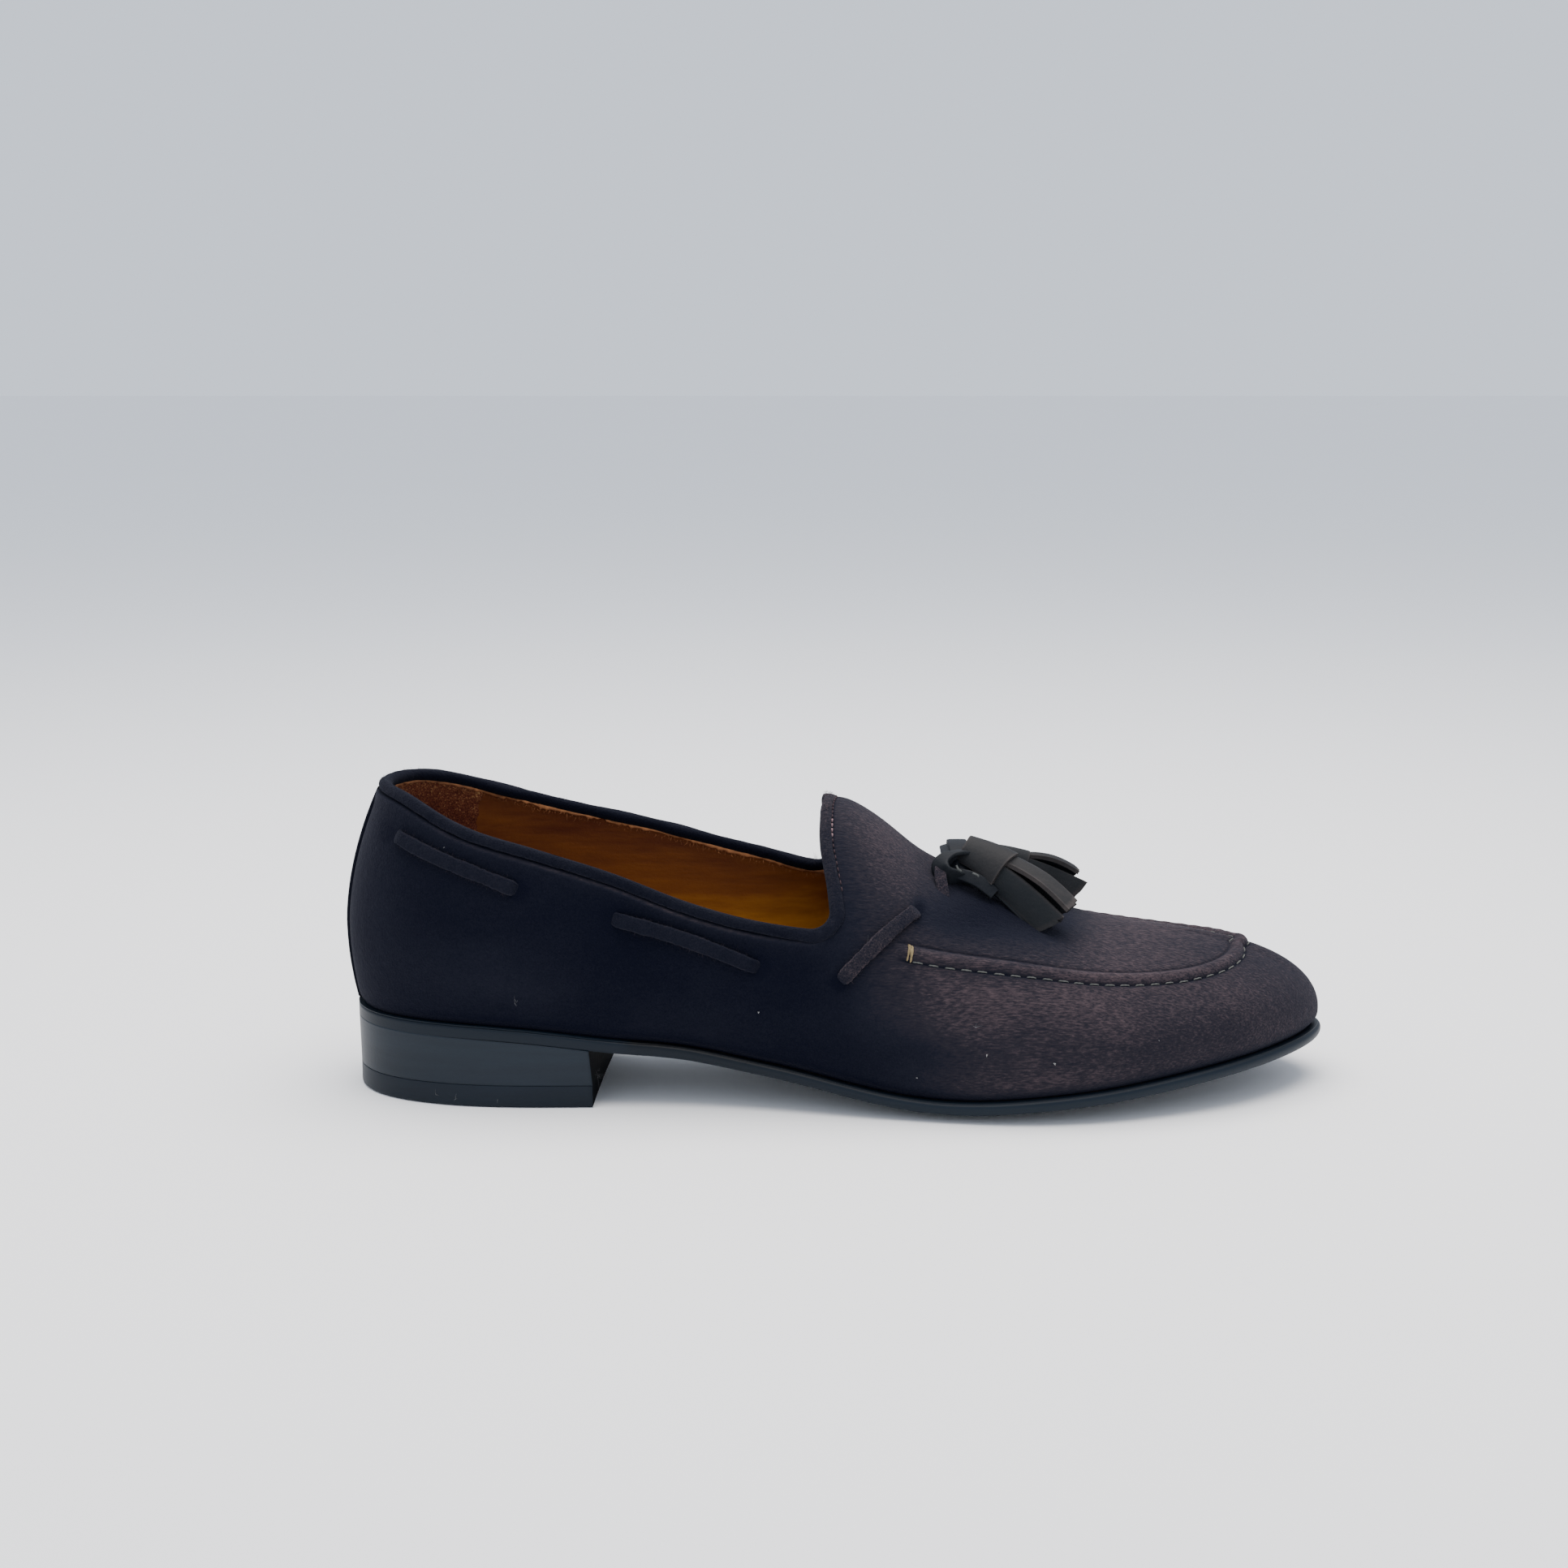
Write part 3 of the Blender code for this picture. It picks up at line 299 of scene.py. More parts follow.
def surfacePoint(turn, rise):
    # outer surface of the upper: rise is 0 at the feather line, knee at the widest line and 1 on the ridge
    turn, rise = np.broadcast_arrays(np.asarray(turn, float), np.asarray(rise, float))
    values = lastAt(turn)
    footX, footY, spineX, widest, swell, _, curve = np.moveaxis(values, -1, 0)
    spineY = spineAt(spineX)
    outX, outY = footX - spineX, footY - spineY
    span = np.hypot(outX, outY)
    outX, outY, reach = outX / span, outY / span, span + swell
    low = soleEdgeAt(footX) + last["soleThickness"] + last["gap"]
    top = ridgeAt(spineX)
    belly = low + widest * (top - low)
    knee = last["knee"]
    part = np.clip(rise / knee, 0, 1)
    angle = np.clip((rise - knee) / (1 - knee), 0, 1) * math.pi / 2
    cosine, sine = np.maximum(np.cos(angle), 0), np.sin(angle)
    upper = rise >= knee
    away = np.where(upper, reach * cosine ** (2 / curve), reach - swell * (1 - part) ** 2)
    height = np.where(upper, belly + (top - belly) * sine ** (2 / curve), low + (belly - low) * part)
    lean = ridgeSlope(spineX) * outX * away * (1 - (away / reach) ** 2)
    height = height + np.where(upper & (fold(turn) > throatTurn), lean, 0)
    return np.stack([spineX + outX * away, spineY + outY * away, height], axis=-1) + shift


def surfaceNormal(turn, rise):
    turn, rise = np.broadcast_arrays(np.asarray(turn, float), np.asarray(rise, float))
    step = 0.004
    lowRise, highRise = np.maximum(rise - step, 0), np.minimum(rise + step, 1)
    climb = surfacePoint(turn, highRise) - surfacePoint(turn, lowRise)
    along = surfacePoint(turn + step, rise) - surfacePoint(turn - step, rise)
    normal = np.cross(along, climb)
    normal[..., 2] = np.where(rise == 0, 0, normal[..., 2])
    slope = ridgeSlope(lastAt(turn)[..., 2])
    upright = np.stack([-slope, np.zeros_like(slope), np.ones_like(slope)], axis=-1)
    normal = np.where((rise > 0.996)[..., None], upright, normal)
    return normal / np.linalg.norm(normal, axis=-1, keepdims=True)


def riseWhere(turn, height):
    # rise at which the wall reaches a height
    turn, height = np.broadcast_arrays(np.asarray(turn, float), np.asarray(height, float))
    low, high = np.zeros(turn.shape), np.ones(turn.shape)
    for _ in range(30):
        middle = (low + high) / 2
        below = surfacePoint(turn, middle)[..., 2] < height
        low, high = np.where(below, middle, low), np.where(below, high, middle)
    return (low + high) / 2


def edgeHeight(turn):
    # edge of the leather at the collar, turning up into the tongue at the throat
    values = lastAt(turn)
    height = np.where(onOuterSide(turn), topLineAt[0](values[..., 0]), topLineAt[1](values[..., 0]))
    radius = last["throatRadius"]
    into = np.clip(values[..., 2] - (last["throat"] * last["length"] - radius), 0, radius)
    return height + radius - np.sqrt(radius**2 - into**2)


def seamHeight(turn):
    outer, values = onOuterSide(turn), lastAt(turn)
    height = np.where(outer, seamLineAt[0](values[..., 0]), seamLineAt[1](values[..., 0]))
    corner = np.where(outer, edgeHeight(throatTurn), edgeHeight(2 - throatTurn))
    return corner + (height - corner) * eased(np.clip((fold(turn) - throatTurn) / last["cornerBlend"], 0, 1))


def leaned(turn, rise, crest):
    # turn moved so that the tongue's edge leans at its foot, swells half way up and rounds off on top
    outer = onOuterSide(turn)
    near = np.maximum(1 - np.abs(fold(turn) - throatTurn) / last["throatLeanReach"], 0) ** 2
    climbed = np.clip((rise - crest) / np.maximum(1 - crest, 1e-6), 0, 1)
    bulgeAt, bulgeReach = last["tongueBulgeAt"]
    roundAt, roundReach = last["tongueRoundAt"]
    lean = np.where(outer, last["throatLean"][0], last["throatLean"][1]) * (1 - climbed) ** 1.5
    bulge = last["tongueBulge"] * bell((climbed - bulgeAt) / bulgeReach)
    rounding = last["tongueRound"] * np.clip((climbed - roundAt) / roundReach, 0, 1) ** 2
    move = near * (lean - bulge + rounding)
    return turn + np.where(outer, move, -move)


def outlinePoint(turn, offset, height):
    # beside the feather line, offset outwards in plan
    turn = np.asarray(turn, float)
    here = lastAt(turn)[..., :2]
    along = lastAt(turn + 0.002)[..., :2] - lastAt(turn - 0.002)[..., :2]
    along /= np.linalg.norm(along, axis=-1, keepdims=True)
    plan = here + np.stack([along[..., 1], -along[..., 0]], axis=-1) * np.asarray(offset)[..., None]
    return np.concatenate([plan, np.broadcast_to(height, plan.shape[:-1])[..., None]], axis=-1) + shift


# meshes
def quadsOver(number):
    # faces over a grid of corner numbers
    quads = [number[:-1, :-1], number[:-1, 1:], number[1:, 1:], number[1:, :-1]]
    return np.stack(quads, axis=-1).reshape(-1, 4).tolist()


def gridQuads(rows, columns, wrap=False):
    number = np.arange(rows * columns).reshape(rows, columns)
    return quadsOver(np.concatenate([number, number[:, :1]], axis=1) if wrap else number)


def tubeFaces(rows, around):
    # skin of a swept ring, and the two faces that close its ends
    ends = [list(range(around))[::-1], [(rows - 1) * around + i for i in range(around)]]
    return gridQuads(rows, around, wrap=True) + ends


def sheetFaces(rows, columns):
    # skin of a thin sheet whose rows run out over it and back under it
    faces = gridQuads(rows, 2 * columns, wrap=True)
    for row in (0, rows - 1):
        for i in range(columns - 1):
            near, far = row * 2 * columns + i, row * 2 * columns + 2 * columns - 1 - i
            faces.append([near, near + 1, far - 1, far])
    return faces


def makePiece(name, points, faces, finish, nodes=(), slot=None, tone=None, flip=False):
    mesh = bpy.data.meshes.new(name)
    mesh.from_pydata(np.asarray(points, float).reshape(-1, 3).tolist(), [], faces)
    if tone is not None:
        mesh.attributes.new("tone", "FLOAT", "POINT").data.foreach_set("value", np.asarray(tone, float).ravel())
    work = bmesh.new()
    work.from_mesh(mesh)
    bmesh.ops.remove_doubles(work, verts=work.verts, dist=1e-6)
    bmesh.ops.recalc_face_normals(work, faces=work.faces)
    if flip:
        bmesh.ops.reverse_faces(work, faces=work.faces)
    work.to_mesh(mesh)
    work.free()
    mesh.polygons.foreach_set("use_smooth", [True] * len(mesh.polygons))
    mesh.materials.append(finish)
    piece = bpy.data.objects.new(name, mesh)
    bpy.context.scene.collection.objects.link(piece)
    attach(piece, "root")
    if nodes:
        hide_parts(*nodes)
    return piece


def smoothPath(places, count):
    # evenly spaced points on a curve through a few places
    places = np.array(places, float)
    knots = lengthsAlong(places)
    return splineThrough(knots, places)(np.linspace(0, knots[-1], count))


def bandAround(centres, normals, width, thick, around=16, power=4.0):
    # closed flat band swept along centres, lying across the normals
    centres = np.asarray(centres, float)
    travel = unit(np.gradient(centres, axis=0))
    across = unit(np.cross(np.asarray(normals, float), travel))
    facing = np.cross(travel, across)
    angle = np.linspace(0, 2 * math.pi, around, endpoint=False)
    sideways = np.sign(np.cos(angle)) * np.abs(np.cos(angle)) ** (2 / power)
    upward = np.sign(np.sin(angle)) * np.abs(np.sin(angle)) ** (2 / power)
    width = np.broadcast_to(width, (len(centres),))[:, None, None] / 2
    thick = np.broadcast_to(thick, (len(centres),))[:, None, None] / 2
    points = centres[:, None] + across[:, None] * width * sideways[None, :, None]
    points = points + facing[:, None] * thick * upward[None, :, None]
    return points.reshape(-1, 3), tubeFaces(len(centres), around)


def joined(parts):
    points, faces, start = [], [], 0
    for partPoints, partFaces in parts:
        points.append(np.asarray(partPoints).reshape(-1, 3))
        faces += [[corner + start for corner in face] for face in partFaces]
        start += len(points[-1])
    return np.concatenate(points), faces


def tonesOf(parts, tones):
    # one tone for all the points of each part
    counts = [len(np.asarray(points).reshape(-1, 3)) for points, _ in parts]
    return np.concatenate([np.full(count, tone) for count, tone in zip(counts, tones)])


def hairsAt(roots, directions, lengths, thickness, seed, curl=0.5):
    # loose fibres: thin three-sided hairs that bend as they leave their roots
    loose = np.random.default_rng(seed)
    count, steps = len(roots), 5
    directions = unit(np.asarray(directions, float) + loose.normal(0, 0.25, (count, 3)))
    bends = loose.normal(0, curl, (count, 3))
    share = np.linspace(0, 1, steps)[None, :, None]
    lengths = np.asarray(lengths, float)[:, None, None]
    line = np.asarray(roots)[:, None] + lengths * (directions[:, None] * share + bends[:, None] * share**2 * 0.6)
    travel = unit(np.gradient(line, axis=1))
    across = unit(np.cross(travel, loose.normal(0, 1, (count, 1, 3))))
    over = np.cross(travel, across)
    radius = thickness / 2 * (1 - 0.75 * share)
    corners = []
    for angle in (0.0, 2 * math.pi / 3, 4 * math.pi / 3):
        corners.append(line + (across * math.cos(angle) + over * math.sin(angle)) * radius)
    points = np.stack(corners, axis=2).reshape(-1, 3)
    faces = []
    for hair in range(count):
        start = hair * steps * 3
        faces += [[corner + start for corner in face] for face in gridQuads(steps, 3, wrap=True)]
        end = start + steps * 3
        faces += [[start + 2, start + 1, start], [end - 3, end - 2, end - 1]]
    return points, faces


# finishes
def newFinish(name, roughness, specular=0.5, coat=0.0, coatRoughness=0.1, sheen=0.0, sheenTint=(1, 1, 1)):
    finish = bpy.data.materials.new(name)
    finish.use_nodes = True
    shader = finish.node_tree.nodes["Principled BSDF"]
    shader.inputs["Roughness"].default_value = roughness
    shader.inputs["Specular IOR Level"].default_value = specular
    shader.inputs["Coat Weight"].default_value = coat
    shader.inputs["Coat Roughness"].default_value = coatRoughness
    shader.inputs["Sheen Weight"].default_value = sheen
    shader.inputs["Sheen Roughness"].default_value = 0.45
    shader.inputs["Sheen Tint"].default_value = (*sheenTint, 1)
    place = finish.node_tree.nodes.new("ShaderNodeTexCoord").outputs["Object"]
    return finish, finish.node_tree, shader, place


def noiseIn(tree, place, scale, detail=4.0, rough=0.55, stretch=(1, 1, 1), offset=0.0):
    mapping = tree.nodes.new("ShaderNodeMapping")
    mapping.inputs["Scale"].default_value = stretch
    mapping.inputs["Location"].default_value = (offset, offset * 0.7, offset * 1.3)
    tree.links.new(place, mapping.inputs["Vector"])
    noise = tree.nodes.new("ShaderNodeTexNoise")
    noise.inputs["Scale"].default_value = scale
    noise.inputs["Detail"].default_value = detail
    noise.inputs["Roughness"].default_value = rough
    tree.links.new(mapping.outputs["Vector"], noise.inputs["Vector"])
    return noise.outputs["Fac"]


def rampIn(tree, factor, stops):
    ramp = tree.nodes.new("ShaderNodeValToRGB")
    elements = ramp.color_ramp.elements
    while len(elements) < len(stops):
        elements.new(0.5)
    for element, (at, colour) in zip(elements, stops):
        element.position, element.color = at, (*colour, 1)
    tree.links.new(factor, ramp.inputs["Fac"])
    return ramp.outputs["Color"]


def mathIn(tree, kind, first, second=0.0, clamp=False):
    node = tree.nodes.new("ShaderNodeMath")
    node.operation, node.use_clamp = kind, clamp
    for socket, value in zip(node.inputs, (first, second)):
        if isinstance(value, bpy.types.NodeSocket):
            tree.links.new(value, socket)
        else:
            socket.default_value = value
    return node.outputs[0]


def plus(tree, first, second, clamp=False):
    return mathIn(tree, "ADD", first, second, clamp)


def times(tree, first, second, clamp=False):
    return mathIn(tree, "MULTIPLY", first, second, clamp)


def centred(tree, noise):
    # noise about nought in place of about a half
    return mathIn(tree, "SUBTRACT", noise, 0.5)


def toneIn(tree):
    # tone laid on the piece
    node = tree.nodes.new("ShaderNodeAttribute")
    node.attribute_name = "tone"
    return node.outputs["Fac"]


def bumpIn(tree, shader, height, strength, distance):
    bump = tree.nodes.new("ShaderNodeBump")
    bump.inputs["Strength"].default_value = strength
    bump.inputs["Distance"].default_value = distance
    tree.links.new(height, bump.inputs["Height"])
    tree.links.new(bump.outputs["Normal"], shader.inputs["Normal"])


suedeLook = {
    "stops": [
        (0.0, (0.0004, 0.0011, 0.0062)), (0.30, (0.0058, 0.0066, 0.0128)),
        (0.55, (0.0165, 0.0143, 0.0196)), (1.0, (0.0770, 0.0540, 0.0585)),
    ],
    "sheen": 0.05,
    "sheenTint": (0.60, 0.60, 0.75),
    "patchScale": 26.0,
    "patchShare": 0.45,
    "mottleScale": 620.0,
    "mottleShare": 0.40,
    "napScale": 2100.0,
    "napShare": 1.10,
    "napStretch": (0.22, 1.0, 1.0),
    "speckleScale": 1700.0,
    "lying": (0.16, 4.0),  # tone from which the fibres lie down, and how soon they all do
    "contrast": (0.30, 0.95),  # of the nap, on the darkest leather and for each unit of tone
    "bump": 0.75,
    "bumpShare": 0.9,
}


def suedeFinish(name, look):
    # napped leather: brushed patches, mottling, and short fibres that lie along the shoe where it is light
    finish, tree, shader, place = newFinish(name, 0.95, 0.10, sheen=look["sheen"], sheenTint=look["sheenTint"])
    tone = toneIn(tree)
    patches = centred(tree, noiseIn(tree, place, look["patchScale"], 3.0, 0.5, (0.7, 1, 1.2)))
    mottle = centred(tree, noiseIn(tree, place, look["mottleScale"], 5.0, 0.62, (0.5, 1, 1), 3.1))
    streaks = noiseIn(tree, place, look["napScale"], 3.0, 0.65, look["napStretch"], 7.7)
    speckle = noiseIn(tree, place, look["speckleScale"], 3.0, 0.7, (1, 1, 1), 1.3)
    lyingFrom, lyingRate = look["lying"]
    lying = times(tree, mathIn(tree, "SUBTRACT", tone, lyingFrom), lyingRate, clamp=True)
    standing = mathIn(tree, "SUBTRACT", 1.0, lying)
    nap = centred(tree, plus(tree, times(tree, streaks, lying), times(tree, speckle, standing)))
    plain, each = look["contrast"]
    contrast = plus(tree, times(tree, tone, each), plain)
    fine = plus(tree, times(tree, mottle, look["mottleShare"]), times(tree, nap, look["napShare"]))
    both = plus(tree, times(tree, fine, contrast), times(tree, patches, look["patchShare"]))
    colour = rampIn(tree, plus(tree, both, tone, clamp=True), look["stops"])
    tree.links.new(colour, shader.inputs["Base Color"])
    height = plus(tree, times(tree, nap, look["bumpShare"]), times(tree, mottle, look["bumpShare"]))
    bumpIn(tree, shader, height, look["bump"], 0.0006)
    return finish


def leatherFinish(name, dark, light, roughness, streak=(0.15, 1, 1), scale=320.0, bump=0.2, coat=0.0, specular=0.4):
    # one colour between dark and light, streaked, with fine pores
    finish, tree, shader, place = newFinish(name, roughness, specular, coat, 0.25)
    streaks = noiseIn(tree, place, scale, 5.0, 0.6, streak)
    broad = noiseIn(tree, place, 24.0, 3.0, 0.5, (0.5, 1, 1), 5.0)
    pores = noiseIn(tree, place, 900.0, 3.0, 0.6, (1, 1, 1), 2.0)
    blend = plus(tree, times(tree, streaks, 0.55), times(tree, broad, 0.65))
    tree.links.new(rampIn(tree, blend, [(0.35, dark), (0.85, light)]), shader.inputs["Base Color"])
    bumpIn(tree, shader, plus(tree, times(tree, pores, 0.5), streaks), bump, 0.0004)
    return finish


def tonedLeather(name, stops, roughness, streak, scale, mixing, bump, specular=0.3):
    # smooth leather whose colour follows the tone laid on the piece, broken up by its grain
    finish, tree, shader, place = newFinish(name, roughness, specular)
    streaks = centred(tree, noiseIn(tree, place, scale, 5.0, 0.6, streak))
    broad = centred(tree, noiseIn(tree, place, 30.0, 3.0, 0.5, (0.5, 1, 1), 5.0))
    pores = noiseIn(tree, place, 1100.0, 3.0, 0.6, (1, 1, 1), 2.0)
    grain = plus(tree, times(tree, streaks, mixing[0]), times(tree, broad, mixing[1]))
    colour = rampIn(tree, plus(tree, grain, toneIn(tree), clamp=True), stops)
    tree.links.new(colour, shader.inputs["Base Color"])
    bumpIn(tree, shader, plus(tree, times(tree, pores, 0.5), streaks), bump, 0.0004)
    return finish


suede = suedeFinish("brownSuede", suedeLook)
laceLook = dict(suedeLook, mottleScale=900.0, napScale=2200.0, napStretch=(1, 1, 1), speckleScale=2600.0,
                contrast=(0.62, 1.1), bump=0.9)
laceSuede = suedeFinish("laceSuede", laceLook)
bindingSuede = suedeFinish("bindingSuede", dict(laceLook, mottleScale=1100.0, bump=1.0))
liningStops = [
    (0.0, (0.018, 0.0055, 0.0036)), (0.35, (0.082, 0.0200, 0.0080)), (0.65, (0.190, 0.0620, 0.0110)),
    (1.0, (0.430, 0.1800, 0.0200)),
]
tanLining = tonedLeather("tanLining", liningStops, 0.45, (0.13, 1, 1), 330.0, (0.42, 0.30), 0.35)
sockLeather = leatherFinish("sockLeather", (0.10, 0.032, 0.008), (0.24, 0.085, 0.020), 0.55, bump=0.2)
gripLook = dict(laceLook, sheen=0.05, sheenTint=(1.0, 0.6, 0.4), mottleScale=620.0, bump=1.0, contrast=(1.1, 0.4))
gripLook["stops"] = [
    (0.0, (0.025, 0.0065, 0.0045)), (0.45, (0.085, 0.0200, 0.0120)), (0.70, (0.160, 0.0500, 0.0220)),
    (1.0, (0.520, 0.3000, 0.1200)),
]
gripSuede = suedeFinish("heelGripSuede", gripLook)
rawEdge = leatherFinish("rawLiningEdge", (0.045, 0.013, 0.005), (0.34, 0.135, 0.045), 0.9, (1, 1, 1), 420.0, 0.8)
soleStops = [
    (0.0, (0.0002, 0.0007, 0.0018)), (0.45, (0.0026, 0.0070, 0.0132)), (1.0, (0.0100, 0.0180, 0.0265)),
]
soleBlack = tonedLeather("blackedSoleEdge", soleStops, 0.46, (0.06, 0.06, 1), 380.0, (0.22, 0.22), 0.16, specular=0.18)
soleUnder = leatherFinish("outsoleUnderside", (0.006, 0.0065, 0.008), (0.014, 0.0145, 0.016), 0.5, (0.5, 1, 1), 160.0)
heelBlack = leatherFinish("waxedHeel", (0.0024, 0.0062, 0.0118), (0.0062, 0.0130, 0.0215), 0.46,
                          (0.06, 0.06, 1), 380.0, 0.16, 0.04, specular=0.22)
breastBlack = leatherFinish("heelBreast", (0.0002, 0.0008, 0.0018), (0.0006, 0.0016, 0.0030), 0.80, specular=0.03)
liftRubber = leatherFinish("topLiftRubber", (0.0010, 0.0038, 0.0084), (0.0026, 0.0076, 0.0146), 0.50,
                           (0.12, 0.12, 1), 360.0, 0.12, 0.02, specular=0.20)
tasselStops = [
    (0.0, (0.0018, 0.0032, 0.0064)), (0.35, (0.0050, 0.0068, 0.0088)), (0.65, (0.0130, 0.0125, 0.0135)),
    (1.0, (0.0420, 0.0350, 0.0330)),
]
tasselLeather = tonedLeather("tasselLeather", tasselStops, 0.66, (0.5, 1, 1), 260.0, (0.40, 0.35), 0.45, specular=0.2)
greyThread = leatherFinish("seamThread", (0.040, 0.045, 0.045), (0.125, 0.125, 0.112), 0.85, (1, 1, 1), 2500.0, 0.6)
tackThread = leatherFinish("tackThread", (0.05, 0.037, 0.018), (0.30, 0.225, 0.11), 0.85, (1, 1, 1), 900.0, 0.6)
roseThread = leatherFinish("roseThread", (0.020, 0.009, 0.013), (0.050, 0.026, 0.032), 0.85, (1, 1, 1), 2500.0, 0.6)
pinkThread = leatherFinish("pinkThread", (0.14, 0.080, 0.090), (0.32, 0.20, 0.21), 0.8, (1, 1, 1), 2500.0, 0.6)
lintFibre = leatherFinish("lintFibre", (0.055, 0.060, 0.066), (0.20, 0.20, 0.20), 0.9, (1, 1, 1), 2000.0, 0.3)
paleDust = leatherFinish("paleDust", (0.22, 0.22, 0.22), (0.42, 0.42, 0.40), 0.9, (1, 1, 1), 2000.0, 0.3)
print("finishes made")

# upper
upperShape = {
    # columns from the heel to the toe, and rows from the foot of the wall to the ridge
    "heelEnd": 0.16,  # share of the length
    "heelColumns": 60,
    "quarterColumns": 92,
    "cornerColumns": 26,
    "foreColumns": 175,
    "foreSpread": 1.3,
    "wallRows": 54,
    "ridgeRows": 22,
    "apronRows": 40,
    "collarBand": 0.0085,  # strip along the collar with close rows
    "seamBand": 1.35,  # the same along the seam, in half widths of it
    # apron seam
    "seamHeight": 0.0016,
    "seamWidth": 0.0050,
    "seamPower": 1.25,
    "seamStart": 0.556,  # share of the length
    "seamFade": 0.014,
    "stitchPitch": 0.0050,
    "pucker": 0.10,
    "grooveAt": 1.06,  # in half widths of the seam
    "grooveReach": 0.20,
    "grooveDepth": 0.00045,
    "innerGroove": 0.6,
    "seamHighlightAndShade": (0.10, -0.30, 0.12),  # crest, groove, inner groove
    # furrow beside the tongue's binding, with painted shade in it
    "furrowAt": 0.0026,  # from the tongue's edge
    "furrowReach": 0.00045,
    "furrowDepth": 0.00035,
    "furrowShade": -0.34,
    # groove and soft ridge under the collar's binding, with painted shade in the groove and a painted highlight along
    # the ridge
    "collarRidge": 0.0009,
    "collarRidgeStart": 0.0029,  # from the leather's edge
    "collarRidgeRise": 0.0010,
    "collarRidgeFall": 0.0031,
    "collarRidgeHighlight": 0.07,
    "collarGroove": 0.0006,
    "collarGrooveAt": 0.0026,
    "collarGrooveReach": 0.00045,
    "collarGrooveShade": -0.22,
    # painted highlight along the ridge's top, stronger part way along the collar
    "highlightTone": 0.17,
    "highlightMore": (0.25, 0.30, 0.13),  # added tone, its place along and its reach, as shares
    "highlightAt": 0.0007,
    "highlightReach": 0.0008,
    # foot of the wall, drawn in over the sole, with painted shade along it
    "footTuck": 0.0009,
    "footTuckHeight": 0.0012,
    "footShade": -0.35,
    "footShadeHeight": 0.0022,
    "lip": 0.0011,  # turned inwards along the collar's edge
}

# crease: along, height share of the back height, run along, run up, depth (minus sinks), softness
creases = [
    (0.300, 0.60, 0.050, -0.012, -0.00035, 0.0055),
    (0.520, 0.40, 0.045, -0.010, -0.00045, 0.0060),
    (0.640, 0.30, 0.060, 0.004, -0.00030, 0.0070),
    (0.730, 0.22, 0.050, 0.010, 0.00025, 0.0060),
]


def lateralTurns():
    # from the back of the heel to the tip of the toe, closer together at the throat's corner
    shape = upperShape
    throat = last["throat"] * last["length"]
    heelEnd = turnWhere(shape["heelEnd"] * last["length"])
    corner = turnWhere(throat - last["throatRadius"], column=2)
    angles = np.radians(np.linspace(0, 90, shape["cornerColumns"], endpoint=False))
    wanted = throat - last["throatRadius"] * (1 - np.sin(angles))
    share = np.linspace(0, 1, shape["foreColumns"] + 1) ** shape["foreSpread"]
    return np.concatenate([
        np.linspace(0, heelEnd, shape["heelColumns"], endpoint=False),
        np.linspace(heelEnd, corner, shape["quarterColumns"], endpoint=False),
        np.array([turnWhere(value, column=2) for value in wanted]),
        throatTurn + (1 - throatTurn) * share,
    ])


def seamCrest(turn):
    # rise of the crest of the apron seam, or of the leather's edge at the collar
    turn = np.asarray(turn, float)
    return riseWhere(turn, np.where(onForepart(turn), seamHeight(turn), edgeHeight(turn)))


def riseReach(turn, rise):
    # metres of surface for each unit of rise
    return np.linalg.norm(surfacePoint(turn, rise + 0.005) - surfacePoint(turn, rise - 0.005), axis=-1) / 0.01


def seamRelief(turn, rise, crest, along, away):
    # raised seam, puckered between its stitches, with a groove on each side: lift, and the tone, with a painted
    # highlight on the crest and painted shade in the grooves and in the furrow beside the tongue
    shape = upperShape
    grown = np.clip((along - shape["seamStart"]) / shape["seamFade"] + 0.5, 0, 1)
    distance = away / (shape["seamWidth"] / 2)
    wave = 1 - shape["pucker"] * (0.5 + 0.5 * np.cos(2 * math.pi * seamLengthAt(turn) / shape["stitchPitch"]))
    groove = bell((distance - shape["grooveAt"]) / shape["grooveReach"])
    groove = groove * np.where(rise < crest, 1.0, shape["innerGroove"])
    hump = np.maximum(1 - distance**2, 0)
    lift = grown * (shape["seamHeight"] * hump ** shape["seamPower"] * wave - shape["grooveDepth"] * groove)
    crestTone, grooveTone, innerTone = shape["seamHighlightAndShade"]
    tone = grown * (crestTone * hump + grooveTone * groove + innerTone * np.where(rise > crest, groove, 0))
    step = 0.002
    reach = np.linalg.norm(surfacePoint(turn + step, rise) - surfacePoint(turn - step, rise), axis=-1) / (2 * step)
    beside = (fold(turn) - throatTurn) * reach - shape["furrowAt"]
    furrow = bell(beside / shape["furrowReach"]) * np.clip((rise - crest) / 0.03, 0, 1)
    return lift - shape["furrowDepth"] * furrow, tone + shape["furrowShade"] * furrow


def collarRelief(turn, along, away):
    # groove under the binding and the soft ridge below it, with painted shade in the groove and a painted highlight
    # along the ridge's top
    shape = upperShape
    fade = np.clip((throatTurn + 0.004 - fold(turn)) / 0.03, 0, 1)
    past = away - shape["collarRidgeStart"]
    climb = np.clip(past / shape["collarRidgeRise"], 0, 1) ** 0.7
    ridge = climb * bell(np.maximum(past - shape["collarRidgeRise"], 0) / shape["collarRidgeFall"])
    groove = bell((away - shape["collarGrooveAt"]) / shape["collarGrooveReach"])
    more, place, reach = shape["highlightMore"]
    highlight = shape["highlightTone"] + more * bell((along - place) / reach)
    tone = highlight * bell((past - shape["highlightAt"]) / shape["highlightReach"])
    tone = tone + shape["collarRidgeHighlight"] * ridge + shape["collarGrooveShade"] * groove
    return fade * (shape["collarRidge"] * ridge - shape["collarGroove"] * groove), fade * tone


